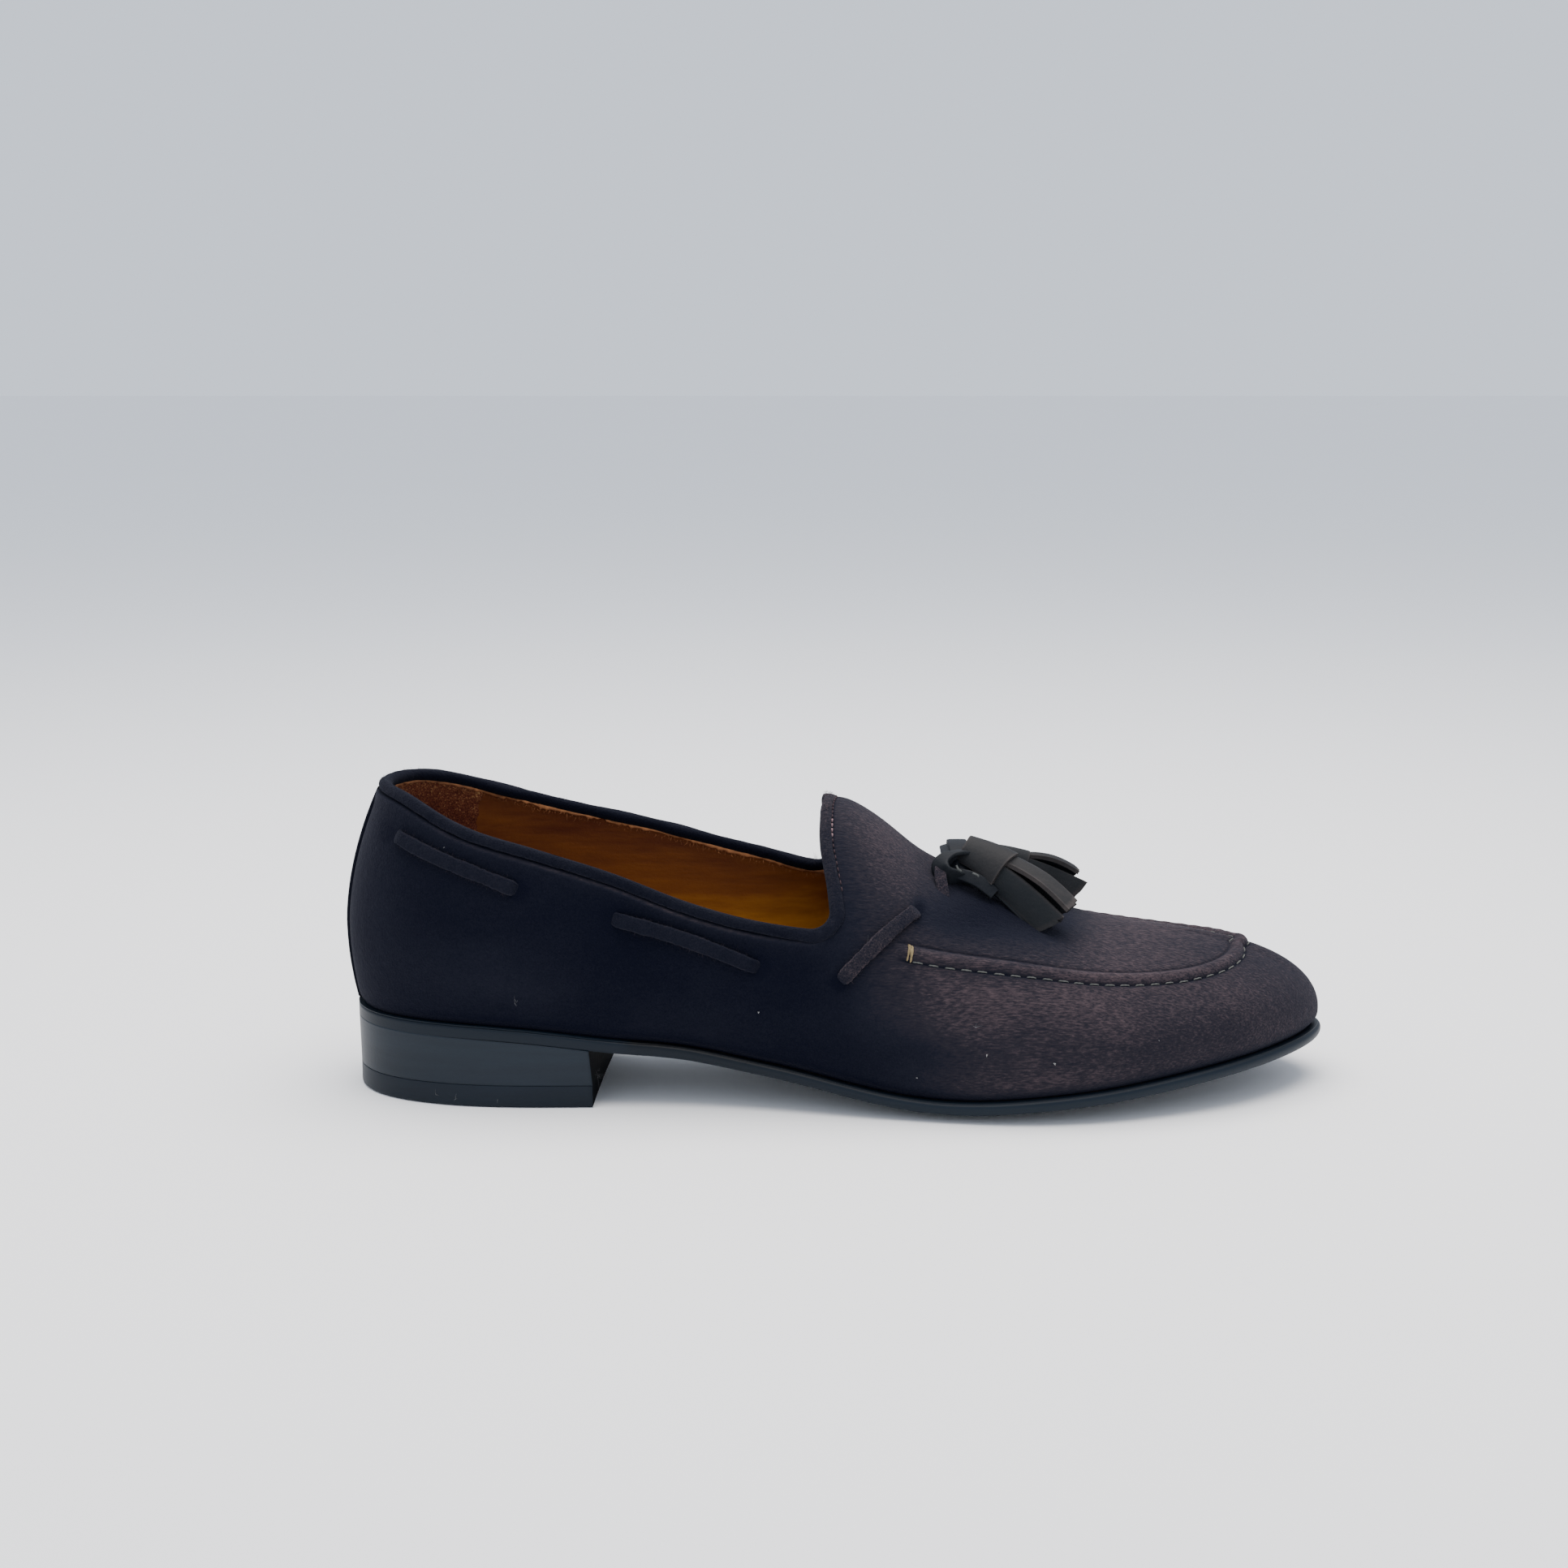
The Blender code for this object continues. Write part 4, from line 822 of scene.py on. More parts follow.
def creaseRelief(turn, point):
    # creases of the outer side
    flat, lift = point - shift, 0
    for startX, startZ, runX, runZ, depth, soft in creases:
        startX, startZ = startX * last["length"], startZ * last["backHeight"]
        part = ((flat[..., 0] - startX) * runX + (flat[..., 2] - startZ) * runZ) / (runX**2 + runZ**2)
        near = np.clip(part, 0, 1)
        gap = np.hypot(flat[..., 0] - startX - near * runX, flat[..., 2] - startZ - near * runZ)
        lift = lift + np.where(onOuterSide(turn), depth * bell(gap / soft), 0)
    return lift


def upperRelief(turn, rise, crest):
    # all that stands on the plain wall, and the painted highlight and shade it lays on the tone
    shape = upperShape
    real = leaned(turn, rise, crest)
    point = surfacePoint(real, rise)
    away = np.linalg.norm(point - surfacePoint(leaned(turn, crest, crest), crest), axis=-1)
    along = lastAt(turn)[..., 0] / last["length"]
    seam, seamTone = seamRelief(turn, rise, crest, along, away)
    collar, collarTone = collarRelief(turn, along, away)
    fore = onForepart(turn)
    lift, tone = np.where(fore, seam, collar), np.where(fore, seamTone, collarTone)
    foot = point[..., 2] - surfacePoint(real, np.zeros_like(rise))[..., 2]
    lift = lift - shape["footTuck"] * bell(foot / shape["footTuckHeight"]) + creaseRelief(turn, point)
    return lift, tone + shape["footShade"] * bell(foot / shape["footShadeHeight"])


def seamLengthTable():
    turns = np.linspace(0, 2, 1201)
    return turns, lengthsAlong(surfacePoint(turns, seamCrest(turns)))


seamTurns, seamLengths = seamLengthTable()


def seamLengthAt(turn):
    return np.interp(np.asarray(turn, float) % 2, seamTurns, seamLengths)


# lace: name; along, outer height and inner height of one end and of the other, as shares; tone, low on the stretches
# down the quarter and higher on the one over the top, as painted shade and light
laceStretches = [
    ("rear_lace", 0.048, 0.862, 0.885, 0.182, 0.706, 0.760, 0.19),
    ("front_lace", 0.274, 0.618, 0.700, 0.419, 0.466, 0.575, 0.18),
    ("cross_lace", 0.498, 0.434, 0.492, 0.576, 0.636, 0.702, 0.48),
]

napSheenAndShade = {
    "quarterTone": 0.075,
    "foreTone": 0.57,
    # the light forepart begins along a slanting line: along plus lean times height, in metres
    "lean": 0.50,
    "leanHeight": 0.040,
    "darkUntil": 0.138,
    "lightFrom": 0.184,
    # marks that lighten or darken the nap: x, z, reach x, reach z, amount; the two strongest dark ones, under the knot
    # and tassels, are painted shadow
    "marks": [
        (0.162, 0.080, 0.016, 0.010, 0.03), (0.272, 0.031, 0.020, 0.008, 0.07), (0.152, 0.070, 0.006, 0.016, -0.06),
        (0.239, 0.049, 0.044, 0.006, 0.15), (0.197, 0.058, 0.018, 0.0065, -0.58), (0.216, 0.0525, 0.012, 0.005, -0.42),
        (0.180, 0.064, 0.008, 0.010, -0.10), (0.194, 0.036, 0.013, 0.006, 0.09), (0.217, 0.0375, 0.016, 0.005, 0.09),
        (0.205, 0.021, 0.050, 0.006, -0.10), (0.262, 0.026, 0.024, 0.008, -0.07), (0.285, 0.029, 0.012, 0.008, -0.05),
        (0.176, 0.022, 0.016, 0.010, -0.08), (0.043, 0.044, 0.024, 0.010, 0.13), (0.055, 0.036, 0.020, 0.006, 0.08),
        (0.012, 0.060, 0.008, 0.022, 0.14), (0.104, 0.040, 0.016, 0.014, 0.03), (0.126, 0.028, 0.022, 0.008, 0.05),
        (0.088, 0.052, 0.018, 0.008, -0.05), (0.072, 0.061, 0.024, 0.010, -0.04), (0.232, 0.030, 0.008, 0.010, 0.05),
        (0.160, 0.036, 0.008, 0.010, 0.05),
    ],
    # painted shade at the slits where the lace goes in and out
    "slitReach": 0.0021,
    "slitShade": -0.55,
    "sidesMeet": 0.004,
}


def toneAt(points):
    # tone of the nap at each place: dark over the quarter and light over the forepart, as painted shade and painted nap
    # sheen, with marks and slits laid over it
    along, high = points[..., 0] - shift[0], points[..., 2]
    start, end = napSheenAndShade["darkUntil"], napSheenAndShade["lightFrom"]
    share = np.clip((along + napSheenAndShade["lean"] * (high - napSheenAndShade["leanHeight"]) - start) / (end - start), 0, 1)
    tone = napSheenAndShade["quarterTone"] + (napSheenAndShade["foreTone"] - napSheenAndShade["quarterTone"]) * eased(share)
    for x, z, reachX, reachZ, amount in napSheenAndShade["marks"]:
        tone = tone + amount * np.exp(-(((along - x) / reachX) ** 2 + ((high - z) / reachZ) ** 2))
    outer = points[..., 1] < napSheenAndShade["sidesMeet"]
    for row in laceStretches:
        for place, outerHeight, innerHeight in (row[1:4], row[4:7]):
            level = np.where(outer, outerHeight, innerHeight) * last["backHeight"]
            gap = np.hypot(along - place * last["length"], high - level)
            tone = tone + napSheenAndShade["slitShade"] * bell(gap / napSheenAndShade["slitReach"])
    return tone


def upperGrid():
    # turns round the shoe, and the rises of the rows below and above the crest of the seam
    shape = upperShape
    half = lateralTurns()
    turns = np.concatenate([half, 2 - half[-2:0:-1]])
    crest = seamCrest(turns)
    share = np.clip((throatTurn - fold(turns)) / 0.05, 0, 1)
    seamBand = shape["seamBand"] * shape["seamWidth"] / 2
    band = (seamBand + (shape["collarBand"] - seamBand) * share) / riseReach(turns, np.minimum(crest, 0.99))
    wall = (crest - band) * np.linspace(0, 1, shape["wallRows"], endpoint=False)[:, None]
    ridge = crest - band * (1 - np.linspace(0, 1, shape["ridgeRows"])[:, None])
    over = crest + band * np.linspace(0, 1, shape["ridgeRows"])[1:, None]
    top = over[-1] + (1 - over[-1]) * np.linspace(0, 1, shape["apronRows"] + 1)[1:, None]
    return turns, crest, onForepart(turns), np.concatenate([wall, ridge]), np.concatenate([over, top])


def makeUpper():
    turns, crest, fore, below, above = upperGrid()
    rows, columns = below.shape
    lowTurns, lowCrest = np.broadcast_to(turns, below.shape), np.broadcast_to(crest, below.shape)
    realTurns = leaned(lowTurns, below, lowCrest)
    normals = surfaceNormal(realTurns, below)
    lift, lowShade = upperRelief(lowTurns, below, lowCrest)
    lowSkin = surfacePoint(realTurns, below) + normals * lift[..., None]
    number = np.arange(rows * columns).reshape(rows, columns)
    faces = gridQuads(rows, columns, wrap=True)

    # the forepart's rows over the seam, both sides meeting on the ridge line
    at = np.flatnonzero(fore)
    high = above[:, at]
    highTurns, highCrest = np.broadcast_to(turns[at], high.shape), np.broadcast_to(crest[at], high.shape)
    realTurns = leaned(highTurns, high, highCrest)
    highLift, highShade = upperRelief(highTurns, high, highCrest)
    highSkin = surfacePoint(realTurns, high) + surfaceNormal(realTurns, high) * highLift[..., None]
    start = rows * columns
    faces += quadsOver(np.concatenate([number[-1:, at], start + np.arange(high.size).reshape(high.shape)]))

    # a lip turned inwards along the edge, so the skin has its real thickness there
    edge = np.flatnonzero(~fore)
    ring = np.concatenate([[at[-1]], edge[edge > at[-1]], edge[edge < at[0]], [at[0]]])
    lip = lowSkin[-1, ring] - normals[-1, ring] * upperShape["lip"]
    lipStart = start + high.size
    for i in range(len(ring) - 1):
        faces.append([number[-1, ring[i]], number[-1, ring[i + 1]], lipStart + i + 1, lipStart + i])
    points = np.concatenate([lowSkin.reshape(-1, 3), highSkin.reshape(-1, 3), lip])
    tones = [toneAt(lowSkin) + lowShade, toneAt(highSkin) + highShade, np.zeros(len(lip))]
    tones = np.concatenate([part.ravel() for part in tones])
    makePiece("suedeUpper", points, faces, suede, ["upper"], "brown_suede", tones)


lining = {
    "heelTone": 0.47,
    "frontTone": 0.76,
    "lightFrom": (0.055, 0.140),  # along
    "lowGlow": 0.30,
    "lowGlowFrom": (0.008, 0.012),  # below the collar's edge, and over how much
    "topShade": 0.13,
    "topShadeReach": 0.007,
    "wrinkle": 0.00016,
    "wrinkleAt": (0.130, 0.030),  # along, and its reach
    "wrinkleTop": (0.060, 0.02),
    # suede panel inside the heel
    "gripLength": 0.0345,
    "gripDrop": 0.0026,  # of its top below the collar's edge
    "gripHeight": 0.046,
    "gripThickness": 0.0004,
    "gripTone": 0.52,
    "gripGrid": (50, 121),
    # cut edge below the binding: drop below the collar's edge, and how far it stands out
    "edgeProfile": [(0.0020, 0.00015), (0.0022, 0.00052), (0.0026, 0.00060), (0.0029, 0.00050), (0.0031, 0.0001)],
    "edgeFibres": 620,
    "fibreLength": (0.0004, 0.0015),
    "fibreThickness": 0.00010,
}


def liningTone(points):
    along, high = points[..., 0] - shift[0], points[..., 2]
    start, end = lining["lightFrom"]
    share = np.clip((along - start) / (end - start), 0, 1)
    tone = lining["heelTone"] + (lining["frontTone"] - lining["heelTone"]) * share**1.3
    under = np.clip(edgeHeightAlong(along) - high, 0, None)
    tone = tone - lining["topShade"] * bell(under / lining["topShadeReach"])
    start, reach = lining["lowGlowFrom"]
    return tone + lining["lowGlow"] * share * np.clip((under - start) / reach, 0, 1)


def edgeHeightAlong(along):
    along = np.clip(along, 0.0096 * last["length"], last["throat"] * last["length"])
    return (topLineAt[0](along) + topLineAt[1](along)) / 2


def wrinklesAt(points):
    # fine level wrinkles low at the front of the lining
    along, high = points[..., 0] - shift[0], points[..., 2]
    place, reach = lining["wrinkleAt"]
    top, fade = lining["wrinkleTop"]
    wave = np.sin(high / 0.00042 + 1.2 * np.sin(along / 0.0051) + 0.8 * np.sin(along / 0.0023 + 1.0))
    return lining["wrinkle"] * bell((along - place) / reach) * np.clip((top - high) / fade, 0, 1) * wave


def makeLining():
    # inner skin of the upper, a wall's thickness inside
    turns, crest, fore, below, above = upperGrid()
    low = below[::2]
    lowTurns = leaned(np.broadcast_to(turns, low.shape), low, np.broadcast_to(crest, low.shape))
    points = surfacePoint(lowTurns, low)
    points = points - surfaceNormal(lowTurns, low) * (last["wall"] - wrinklesAt(points))[..., None]
    rows, columns = low.shape
    number = np.arange(rows * columns).reshape(rows, columns)
    at = np.flatnonzero(fore)
    high = above[2::3][:, at]
    high[-1] = 1.0
    highTurns = leaned(np.broadcast_to(turns[at], high.shape), high, np.broadcast_to(crest[at], high.shape))
    inside = surfacePoint(highTurns, high) - surfaceNormal(highTurns, high) * last["wall"]
    faces = gridQuads(rows, columns, wrap=True)
    faces += quadsOver(np.concatenate([number[-1:, at], rows * columns + np.arange(high.size).reshape(high.shape)]))
    everything = np.concatenate([points.reshape(-1, 3), inside.reshape(-1, 3)])
    makePiece("liningShell", everything, faces, tanLining, (), "tan_lining", liningTone(everything), flip=True)


makeUpper()
makeLining()
print("upper and lining made")

# collar binding, back strip and the lining's edge
binding = {
    # step over the edge and lift off the wall, in mm, from the outside round to the lining
    "profile": [
        (-2.55, -0.10), (-2.58, 0.25), (-2.45, 0.62), (-2.1, 0.92), (-1.5, 1.12), (-0.8, 1.16), (-0.1, 1.00),
        (0.45, 0.62), (0.78, 0.05), (0.88, -0.60), (0.88, -1.30), (0.70, -2.00), (0.25, -2.50), (-0.5, -2.78),
        (-1.3, -2.80), (-2.0, -2.62), (-2.2, -2.30),
    ],
    "underside": -0.8,  # lift in mm below which the profile lies on the lining
    "edgeFrom": 2.0,  # step in mm past which the profile is the binding's cut edge
    "tongueWider": -0.10,
    "cornerWider": 0.40,
    "tongueTopFlat": 0.55,  # how much flatter the roll is on top of the tongue
    "unevenness": 0.00016,
    "tongueRows": 60,
    # tones by place: lighter on the top of the roll and up the tongue, darker on its inner side and round the far side
    # of the collar, as painted light and shade
    "tone": {"outer": 0.02, "top": 0.05, "inner": -0.16, "far": -0.12, "tongue": 0.10, "back": -0.04},
    # strip over the back seam: turn on each side, thickness, and its section across
    "backTurn": 0.0060,
    "backThickness": 0.0010,
    "backAcross": (-1, -0.97, -0.88, -0.70, -0.4, 0, 0.4, 0.70, 0.88, 0.97, 1),
    "backLift": (0.0, 0.45, 0.85, 1.0, 1.08, 1.1, 1.08, 1.0, 0.85, 0.45, 0.0),
    "backTop": 0.0029,  # below the collar's edge
}


def slideOn(turn, rise, move):
    # place on the surface that lies a small move away
    step = 0.002
    along = (surfacePoint(turn + step, rise) - surfacePoint(turn - step, rise)) / (2 * step)
    high = np.minimum(rise + step, 1.0)
    climb = (surfacePoint(turn, high) - surfacePoint(turn, high - 2 * step)) / (2 * step)
    aa, bb, ab = (along * along).sum(-1), (climb * climb).sum(-1), (along * climb).sum(-1)
    am, bm = (along * move).sum(-1), (climb * move).sum(-1)
    area = aa * bb - ab * ab
    newTurn, newRise = turn + (am * bb - bm * ab) / area, rise + (bm * aa - am * ab) / area
    over = newRise > 1
    return np.where(over, 2 - newTurn, newTurn), np.where(over, 2 - newRise, newRise)


def collarPath():
    # round the collar and over the tongue: turn, rise, how far up the tongue (1 on top), and the plain turn
    half = lateralTurns()
    side = half[half < throatTurn - 1e-9]
    crest, farCrest = seamCrest(side), seamCrest(2 - side[1:])
    start, farStart = (float(seamCrest(np.array([turn]))[0]) for turn in (throatTurn, 2 - throatTurn))
    climb = start + (1 - start) * np.linspace(0, 1, binding["tongueRows"])
    descend = farStart + (1 - farStart) * np.linspace(1, 0, binding["tongueRows"])[1:]
    turns = [side, np.full(len(climb), throatTurn), np.full(len(descend), 2 - throatTurn), (2 - side[1:])[::-1]]
    bases = [crest, np.full(len(climb), start), np.full(len(descend), farStart), farCrest[::-1]]
    turns, bases = np.concatenate(turns), np.concatenate(bases)
    rises = np.concatenate([crest, climb, descend, farCrest[::-1]])
    climbed = np.where(fold(turns) > throatTurn - 1e-9, (rises - bases) / (1 - bases), 0)
    return leaned(turns, rises, bases), rises, climbed, fold(turns)


def collarFrames():
    # turns, rises, points, normals, and the ways over the edge along the collar
    turns, rises, _, _ = collarPath()
    points, normals = surfacePoint(turns, rises), surfaceNormal(turns, rises)
    along = np.roll(points, -1, axis=0) - np.roll(points, 1, axis=0)
    into = unit(np.cross(normals, along))
    into *= np.sign(into[0][2])
    return turns, rises, points, normals, into


def collarSpots(frames, steps, lift):
    # steps over the edge (plus) or back on the wall (minus), and lift off the outer surface
    turns, rises, points, normals, into = frames
    back = np.minimum(steps, 0)
    newTurns, newRises = slideOn(turns, rises, into * back[:, None])
    onWall = surfacePoint(newTurns, newRises) + surfaceNormal(newTurns, newRises) * lift[:, None]
    beyond = points + into * steps[:, None] + normals * lift[:, None]
    return np.where((steps > 0)[:, None], beyond, onWall)


def bindingWidth():
    # how wide the binding's outer side is along its path, and how far up the tongue that is
    _, _, climbed, folded = collarPath()
    corner = bell((folded - throatTurn) / 0.03) * (1 - climbed) ** 2
    return 1 + binding["tongueWider"] * np.clip(climbed * 6, 0, 1) + binding["cornerWider"] * corner, climbed


def makeBinding():
    frames = collarFrames()
    points, count = frames[2], len(frames[0])
    wider, climbed = bindingWidth()
    plain, tone = np.ones(count), binding["tone"]
    flatter = 1 - binding["tongueTopFlat"] * np.clip((climbed - 0.45) / 0.4, 0, 1)
    along = np.cumsum(np.linalg.norm(np.diff(points, axis=0, append=points[:1]), axis=1))
    wobble = sum(np.sin(along / length + phase) for length, phase in ((0.0031, 0.4), (0.0047, 1.9), (0.0083, 2.6)))
    fine = calmed(np.random.default_rng(8).normal(0, 1, count + 2), 3)
    # painted light up the tongue, and painted shade round the far side of the collar
    base = toneAt(points) + tone["tongue"] * climbed
    base = base + np.where(points[:, 1] > napSheenAndShade["sidesMeet"], tone["far"], 0) * (climbed < 0.02)
    rows, tones = [], []
    for step, lift in binding["profile"]:
        edge = abs(step) > binding["edgeFrom"]
        swell = lift / 1000 * (flatter if lift > 0 else plain)
        swell = swell + np.sign(lift + 1.1) * binding["unevenness"] * (wobble * (not edge) + fine * 0.7)
        steps = step / 1000 * (wider if step < 0 and lift > -1 else plain) + fine * 0.00012 * edge
        rows.append(collarSpots(frames, steps, swell))
        # painted light on the top of the roll and painted shade on its inner side
        place = "inner" if lift < binding["underside"] else "top" if step > -1.0 else "outer"
        tones.append(base + tone[place] + 0.03 * fine)
    grid, tones = np.moveaxis(np.array(rows), 0, 1), np.array(tones).T
    grid, tones = np.concatenate([grid, grid[:1]]), np.concatenate([tones, tones[:1]])
    faces = gridQuads(count + 1, len(rows), wrap=True)
    makePiece("collarBinding", grid, faces, bindingSuede, ["collar_binding"], "suede_binding", tones)


def makeBackStrip():
    rows, columns = 60, len(binding["backAcross"])
    top = float(riseWhere(np.array([0.0]), edgeHeight(0.0) - binding["backTop"])[0])
    turns = np.broadcast_to(np.array(binding["backAcross"]) * binding["backTurn"], (rows, columns))
    rises = np.broadcast_to(np.linspace(0.0, top, rows)[:, None], turns.shape)
    lift = binding["backThickness"] * np.array(binding["backLift"])
    points = surfacePoint(turns, rises) + surfaceNormal(turns, rises) * lift[None, :, None]
    tones = np.full(turns.shape, binding["tone"]["back"])
    makePiece("backStrip", points, gridQuads(rows, columns), bindingSuede, ["back_strip"], "suede_binding", tones)


def insideSpots(turns, drops, depth):
    # places on the lining, drops metres below the collar's edge and depth inside the outer surface
    crest = seamCrest(turns)
    rises = np.clip(crest - drops / riseReach(turns, np.minimum(crest, 0.99)), 0, 1)
    turns = leaned(turns, rises, crest)
    return surfacePoint(turns, rises) - surfaceNormal(turns, rises) * np.asarray(depth)[..., None]


def makeGrip():
    # suede panel that holds the heel, sewn over the lining's back, with a ragged front edge
    count, columns = lining["gripGrid"]
    end = turnWhere(lining["gripLength"])
    turns, rows = np.linspace(-end, end, columns), np.linspace(0, 1, count)
    ragged = calmed(np.random.default_rng(12).normal(0, 0.00025, count + 2), 3)
    grid = []
    for share, wander in zip(rows, ragged):
        here = turns * (1 + wander * 40 * (np.abs(turns) > end * 0.9))
        edge = np.clip((1 - np.abs(turns) / end) * 60, 0, 1) * min(1, (1 - share) * 40)
        depth = last["wall"] + lining["gripThickness"] * (0.2 + 0.8 * edge)
        grid.append(insideSpots(here % 2, lining["gripDrop"] + share * lining["gripHeight"], depth))
    tone = np.full((count, columns), lining["gripTone"])
    tone += 0.16 * bell(rows[:, None] / 0.16) - 0.05 * rows[:, None]
    makePiece("heelGrip", np.array(grid), gridQuads(count, columns), gripSuede, (), "tan_lining", tone)


def makeRawEdge():
    # cut edge of the lining, standing out raw below the binding, with loose fibres
    half = lateralTurns()
    side = half[half < throatTurn - 0.002]
    turns = np.concatenate([side, 2 - side[:0:-1]])
    turns = turns[np.argsort((turns + 1) % 2)]
    loose = np.random.default_rng(14)
    count, fibres = len(turns), lining["edgeFibres"]
    wander = calmed(loose.normal(0, 1, count + 4), 5)
    fine = loose.normal(0, 1, count)
    rows = []
    for drop, out in lining["edgeProfile"]:
        drops = drop + (0.00038 * wander + 0.00020 * fine) * (drop > 0.0025)
        rows.append(insideSpots(turns, drops, last["wall"] + out + 0.00008 * fine))
    makePiece("rawLiningEdge", np.array(rows), gridQuads(len(rows), count), rawEdge, (), "tan_lining")
    at = loose.integers(0, count, fibres)
    drops = 0.0030 + loose.uniform(-0.0004, 0.0008, fibres)
    roots = insideSpots(turns[at], drops, np.full(fibres, last["wall"] + 0.0006))
    inward = np.stack([np.zeros(fibres), -np.sign(roots[:, 1]), np.full(fibres, -0.8)], axis=1)
    lengths = loose.uniform(*lining["fibreLength"], fibres)
    hairs = hairsAt(roots, inward, lengths, lining["fibreThickness"], 15, 0.6)
    makePiece("liningFibres", *hairs, rawEdge, (), "tan_lining")


makeBinding()
makeBackStrip()
makeGrip()
makeRawEdge()
print("binding made")

# sole, heel and insole
sole = {
    "columns": 240,
    "endsCloser": 0.35,  # how much closer the columns stand at heel and toe
    "edgePoints": 15,
    "crossPoints": 26,
    "topPoints": 6,
    "roundPower": 2.6,
    "weltGroove": 0.00035,
    "weltGrooveAt": (52, 9),  # degrees up from the middle of the edge, and its reach
    "waistStart": 0.0850,
    "waistEnd": 0.1250,
    "waistFade": (0.0035, 0.05),
    "foreStart": 0.12,
    "tone": 0.42,
    "waistTone": -0.27,
    # the top rim is darkened as painted shade where the upper overhangs it
    "edgeTones": (0.18, -0.30, 0.32),  # of the edge, its top rim, and the reach of that
    "insoleThickness": 0.0024,
    "insoleGrid": (150, 33),
}


def underEdge(points):
    # height of the sole's lower edge at each point
    return soleEdgeAt(np.clip(points[..., 0] - shift[0], 0, last["length"]))


def bridge(first, second, shares):
    # rows of points from one line to another
    return first[:, None] * (1 - shares[None, :, None]) + second[:, None] * shares[None, :, None]


def soleRound(turn):
    # how round the sole's edge is: square over the heel, half round at the forepart
    return np.clip((lastAt(turn)[..., 5] / last["soleReach"] - 0.45) / 0.45, 0.0, 1.0)


def makeOutsole():
    # ring after ring along the shoe: outer edge, underside, inner edge, top
    even, closer = np.linspace(0, 1, sole["columns"]), sole["endsCloser"]
    turns = 0.5 - 0.5 * np.cos(np.linspace(0, math.pi, sole["columns"]))
    turns = turns * closer + even * (1 - closer)
    thick, edgePoints = last["soleThickness"], sole["edgePoints"]
    angle = np.radians(np.linspace(90, -90, edgePoints))
    grooveAt, grooveReach = sole["weltGrooveAt"]
    groove = sole["weltGroove"] * bell((np.degrees(angle) - grooveAt) / grooveReach)
    sides = []
    for realTurns in (turns, 2 - turns):
        inset = (1 - np.cos(angle) ** (2 / sole["roundPower"])) * soleRound(realTurns)[:, None] * thick * 0.5
        reach = lastAt(realTurns)[..., 5][:, None]
        places = outlinePoint(np.broadcast_to(realTurns[:, None], inset.shape), reach - inset - groove, 0.0)
        places[..., 2] = underEdge(places) + thick * (0.5 + 0.5 * np.sin(angle))
        sides.append(places)
    lateral, medial = sides
    share = np.linspace(0, 1, sole["crossPoints"] + 2)[1:-1]
    under = bridge(lateral[:, -1], medial[:, -1], share)
    crown = crownAt(np.clip(under[..., 0] - shift[0], 0, last["length"])) * (1 - np.abs(2 * share - 1) ** 2)
    under[..., 2] = np.maximum(underEdge(under) - crown, 0.0)
    top = bridge(lateral[:, 0], medial[:, 0], np.linspace(1, 0, sole["topPoints"] + 2)[1:-1])
    top[..., 2] = underEdge(top) + thick
    rings = np.concatenate([lateral, under, medial[:, ::-1], top], axis=1)

    # dull over the heel, near black and narrow at the waist, lighter where the forepart is rounded, with painted shade
    # along the edge's top rim under the upper
    along = rings[..., 0] - shift[0]
    fadeIn, fadeOut = sole["waistFade"]
    waist = np.clip((along - sole["waistStart"]) / fadeIn, 0, 1)
    waist = waist * (1 - np.clip((along - sole["waistEnd"]) / fadeOut, 0, 1))
    edgeTone, rimTone, rimReach = sole["edgeTones"]
    profile = edgeTone + rimTone * bell(np.linspace(0, 1, edgePoints) / rimReach)
    across = np.zeros(rings.shape[1])
    across[:edgePoints] = profile
    across[edgePoints + sole["crossPoints"]:][:edgePoints] = profile[::-1]
    tones = sole["tone"] + across[None, :] * np.clip(waist + (along > sole["foreStart"]), 0, 1)
    tones = tones + sole["waistTone"] * waist
    faces = gridQuads(*rings.shape[:2], wrap=True)
    piece = makePiece("outsoleBody", rings, faces, soleBlack, ["outsole"], "blackened_sole", tones)
    piece.data.materials.append(soleUnder)
    for face in piece.data.polygons:
        edge = float(underEdge(np.array(face.center)))
        face.material_index = int(face.normal.z < -0.5 and face.center.z < edge + 0.00001)
    piece.data.set_sharp_from_angle(angle=math.radians(40))


heel = {
    "length": 0.0780,
    "liftThickness": 0.0068,
    "breastTurn": 0.050,
    "breastRake": 0.0010,
    "taper": 0.0003,
    "hollow": 0.0004,
    "sidePoints": 90,
    "breastPoints": 30,
    "rows": 12,
    "seatGap": 0.00003,
    # rings of the stack below its wall: inset, rake, height over the lift
    "stackFoot": [(0.0002, 0.0, 0.00003), (0.00005, 0.02, 0.00012)],
    "stackEnds": (0.0005, 0.0004),  # the wall's first ring over the lift, and its last one below the seat
    # rings of the lift: inset, then height from its bottom or, where minus or nought, from its top
    "liftFoot": [(0.0009, 0.0), (0.0003, 0.0002), (0.0, 0.0008), (0.0, 0.0030)],
    "liftTop": [(0.0, -0.0003), (0.00005, -0.0001), (0.0002, 0.0)],
}


def heelRing(inset, rake):
    # plan of the heel: outer side from the breast to the back, inner side, then the hollow breast
    ends = []
    for side in (-1, 1):
        stop = turnWhere(heel["length"] + heel["breastTurn"] * side * last["heelWidth"] / 2 - heel["breastRake"] * rake)
        turn = stop * np.linspace(0, 1, heel["sidePoints"]) ** 1.2
        turn = turn if side < 0 else 2 - turn
        ends.append(outlinePoint(turn, lastAt(turn)[..., 5] - inset, 0.0))
    lateral, medial = ends
    part = np.linspace(0, 1, heel["breastPoints"] + 2)[1:-1]
    breast = medial[-1] * (1 - part[:, None]) + lateral[-1] * part[:, None]
    breast[:, 0] -= heel["hollow"] * (1 - (2 * part - 1) ** 2)
    return np.concatenate([lateral[::-1], medial[1:], breast])


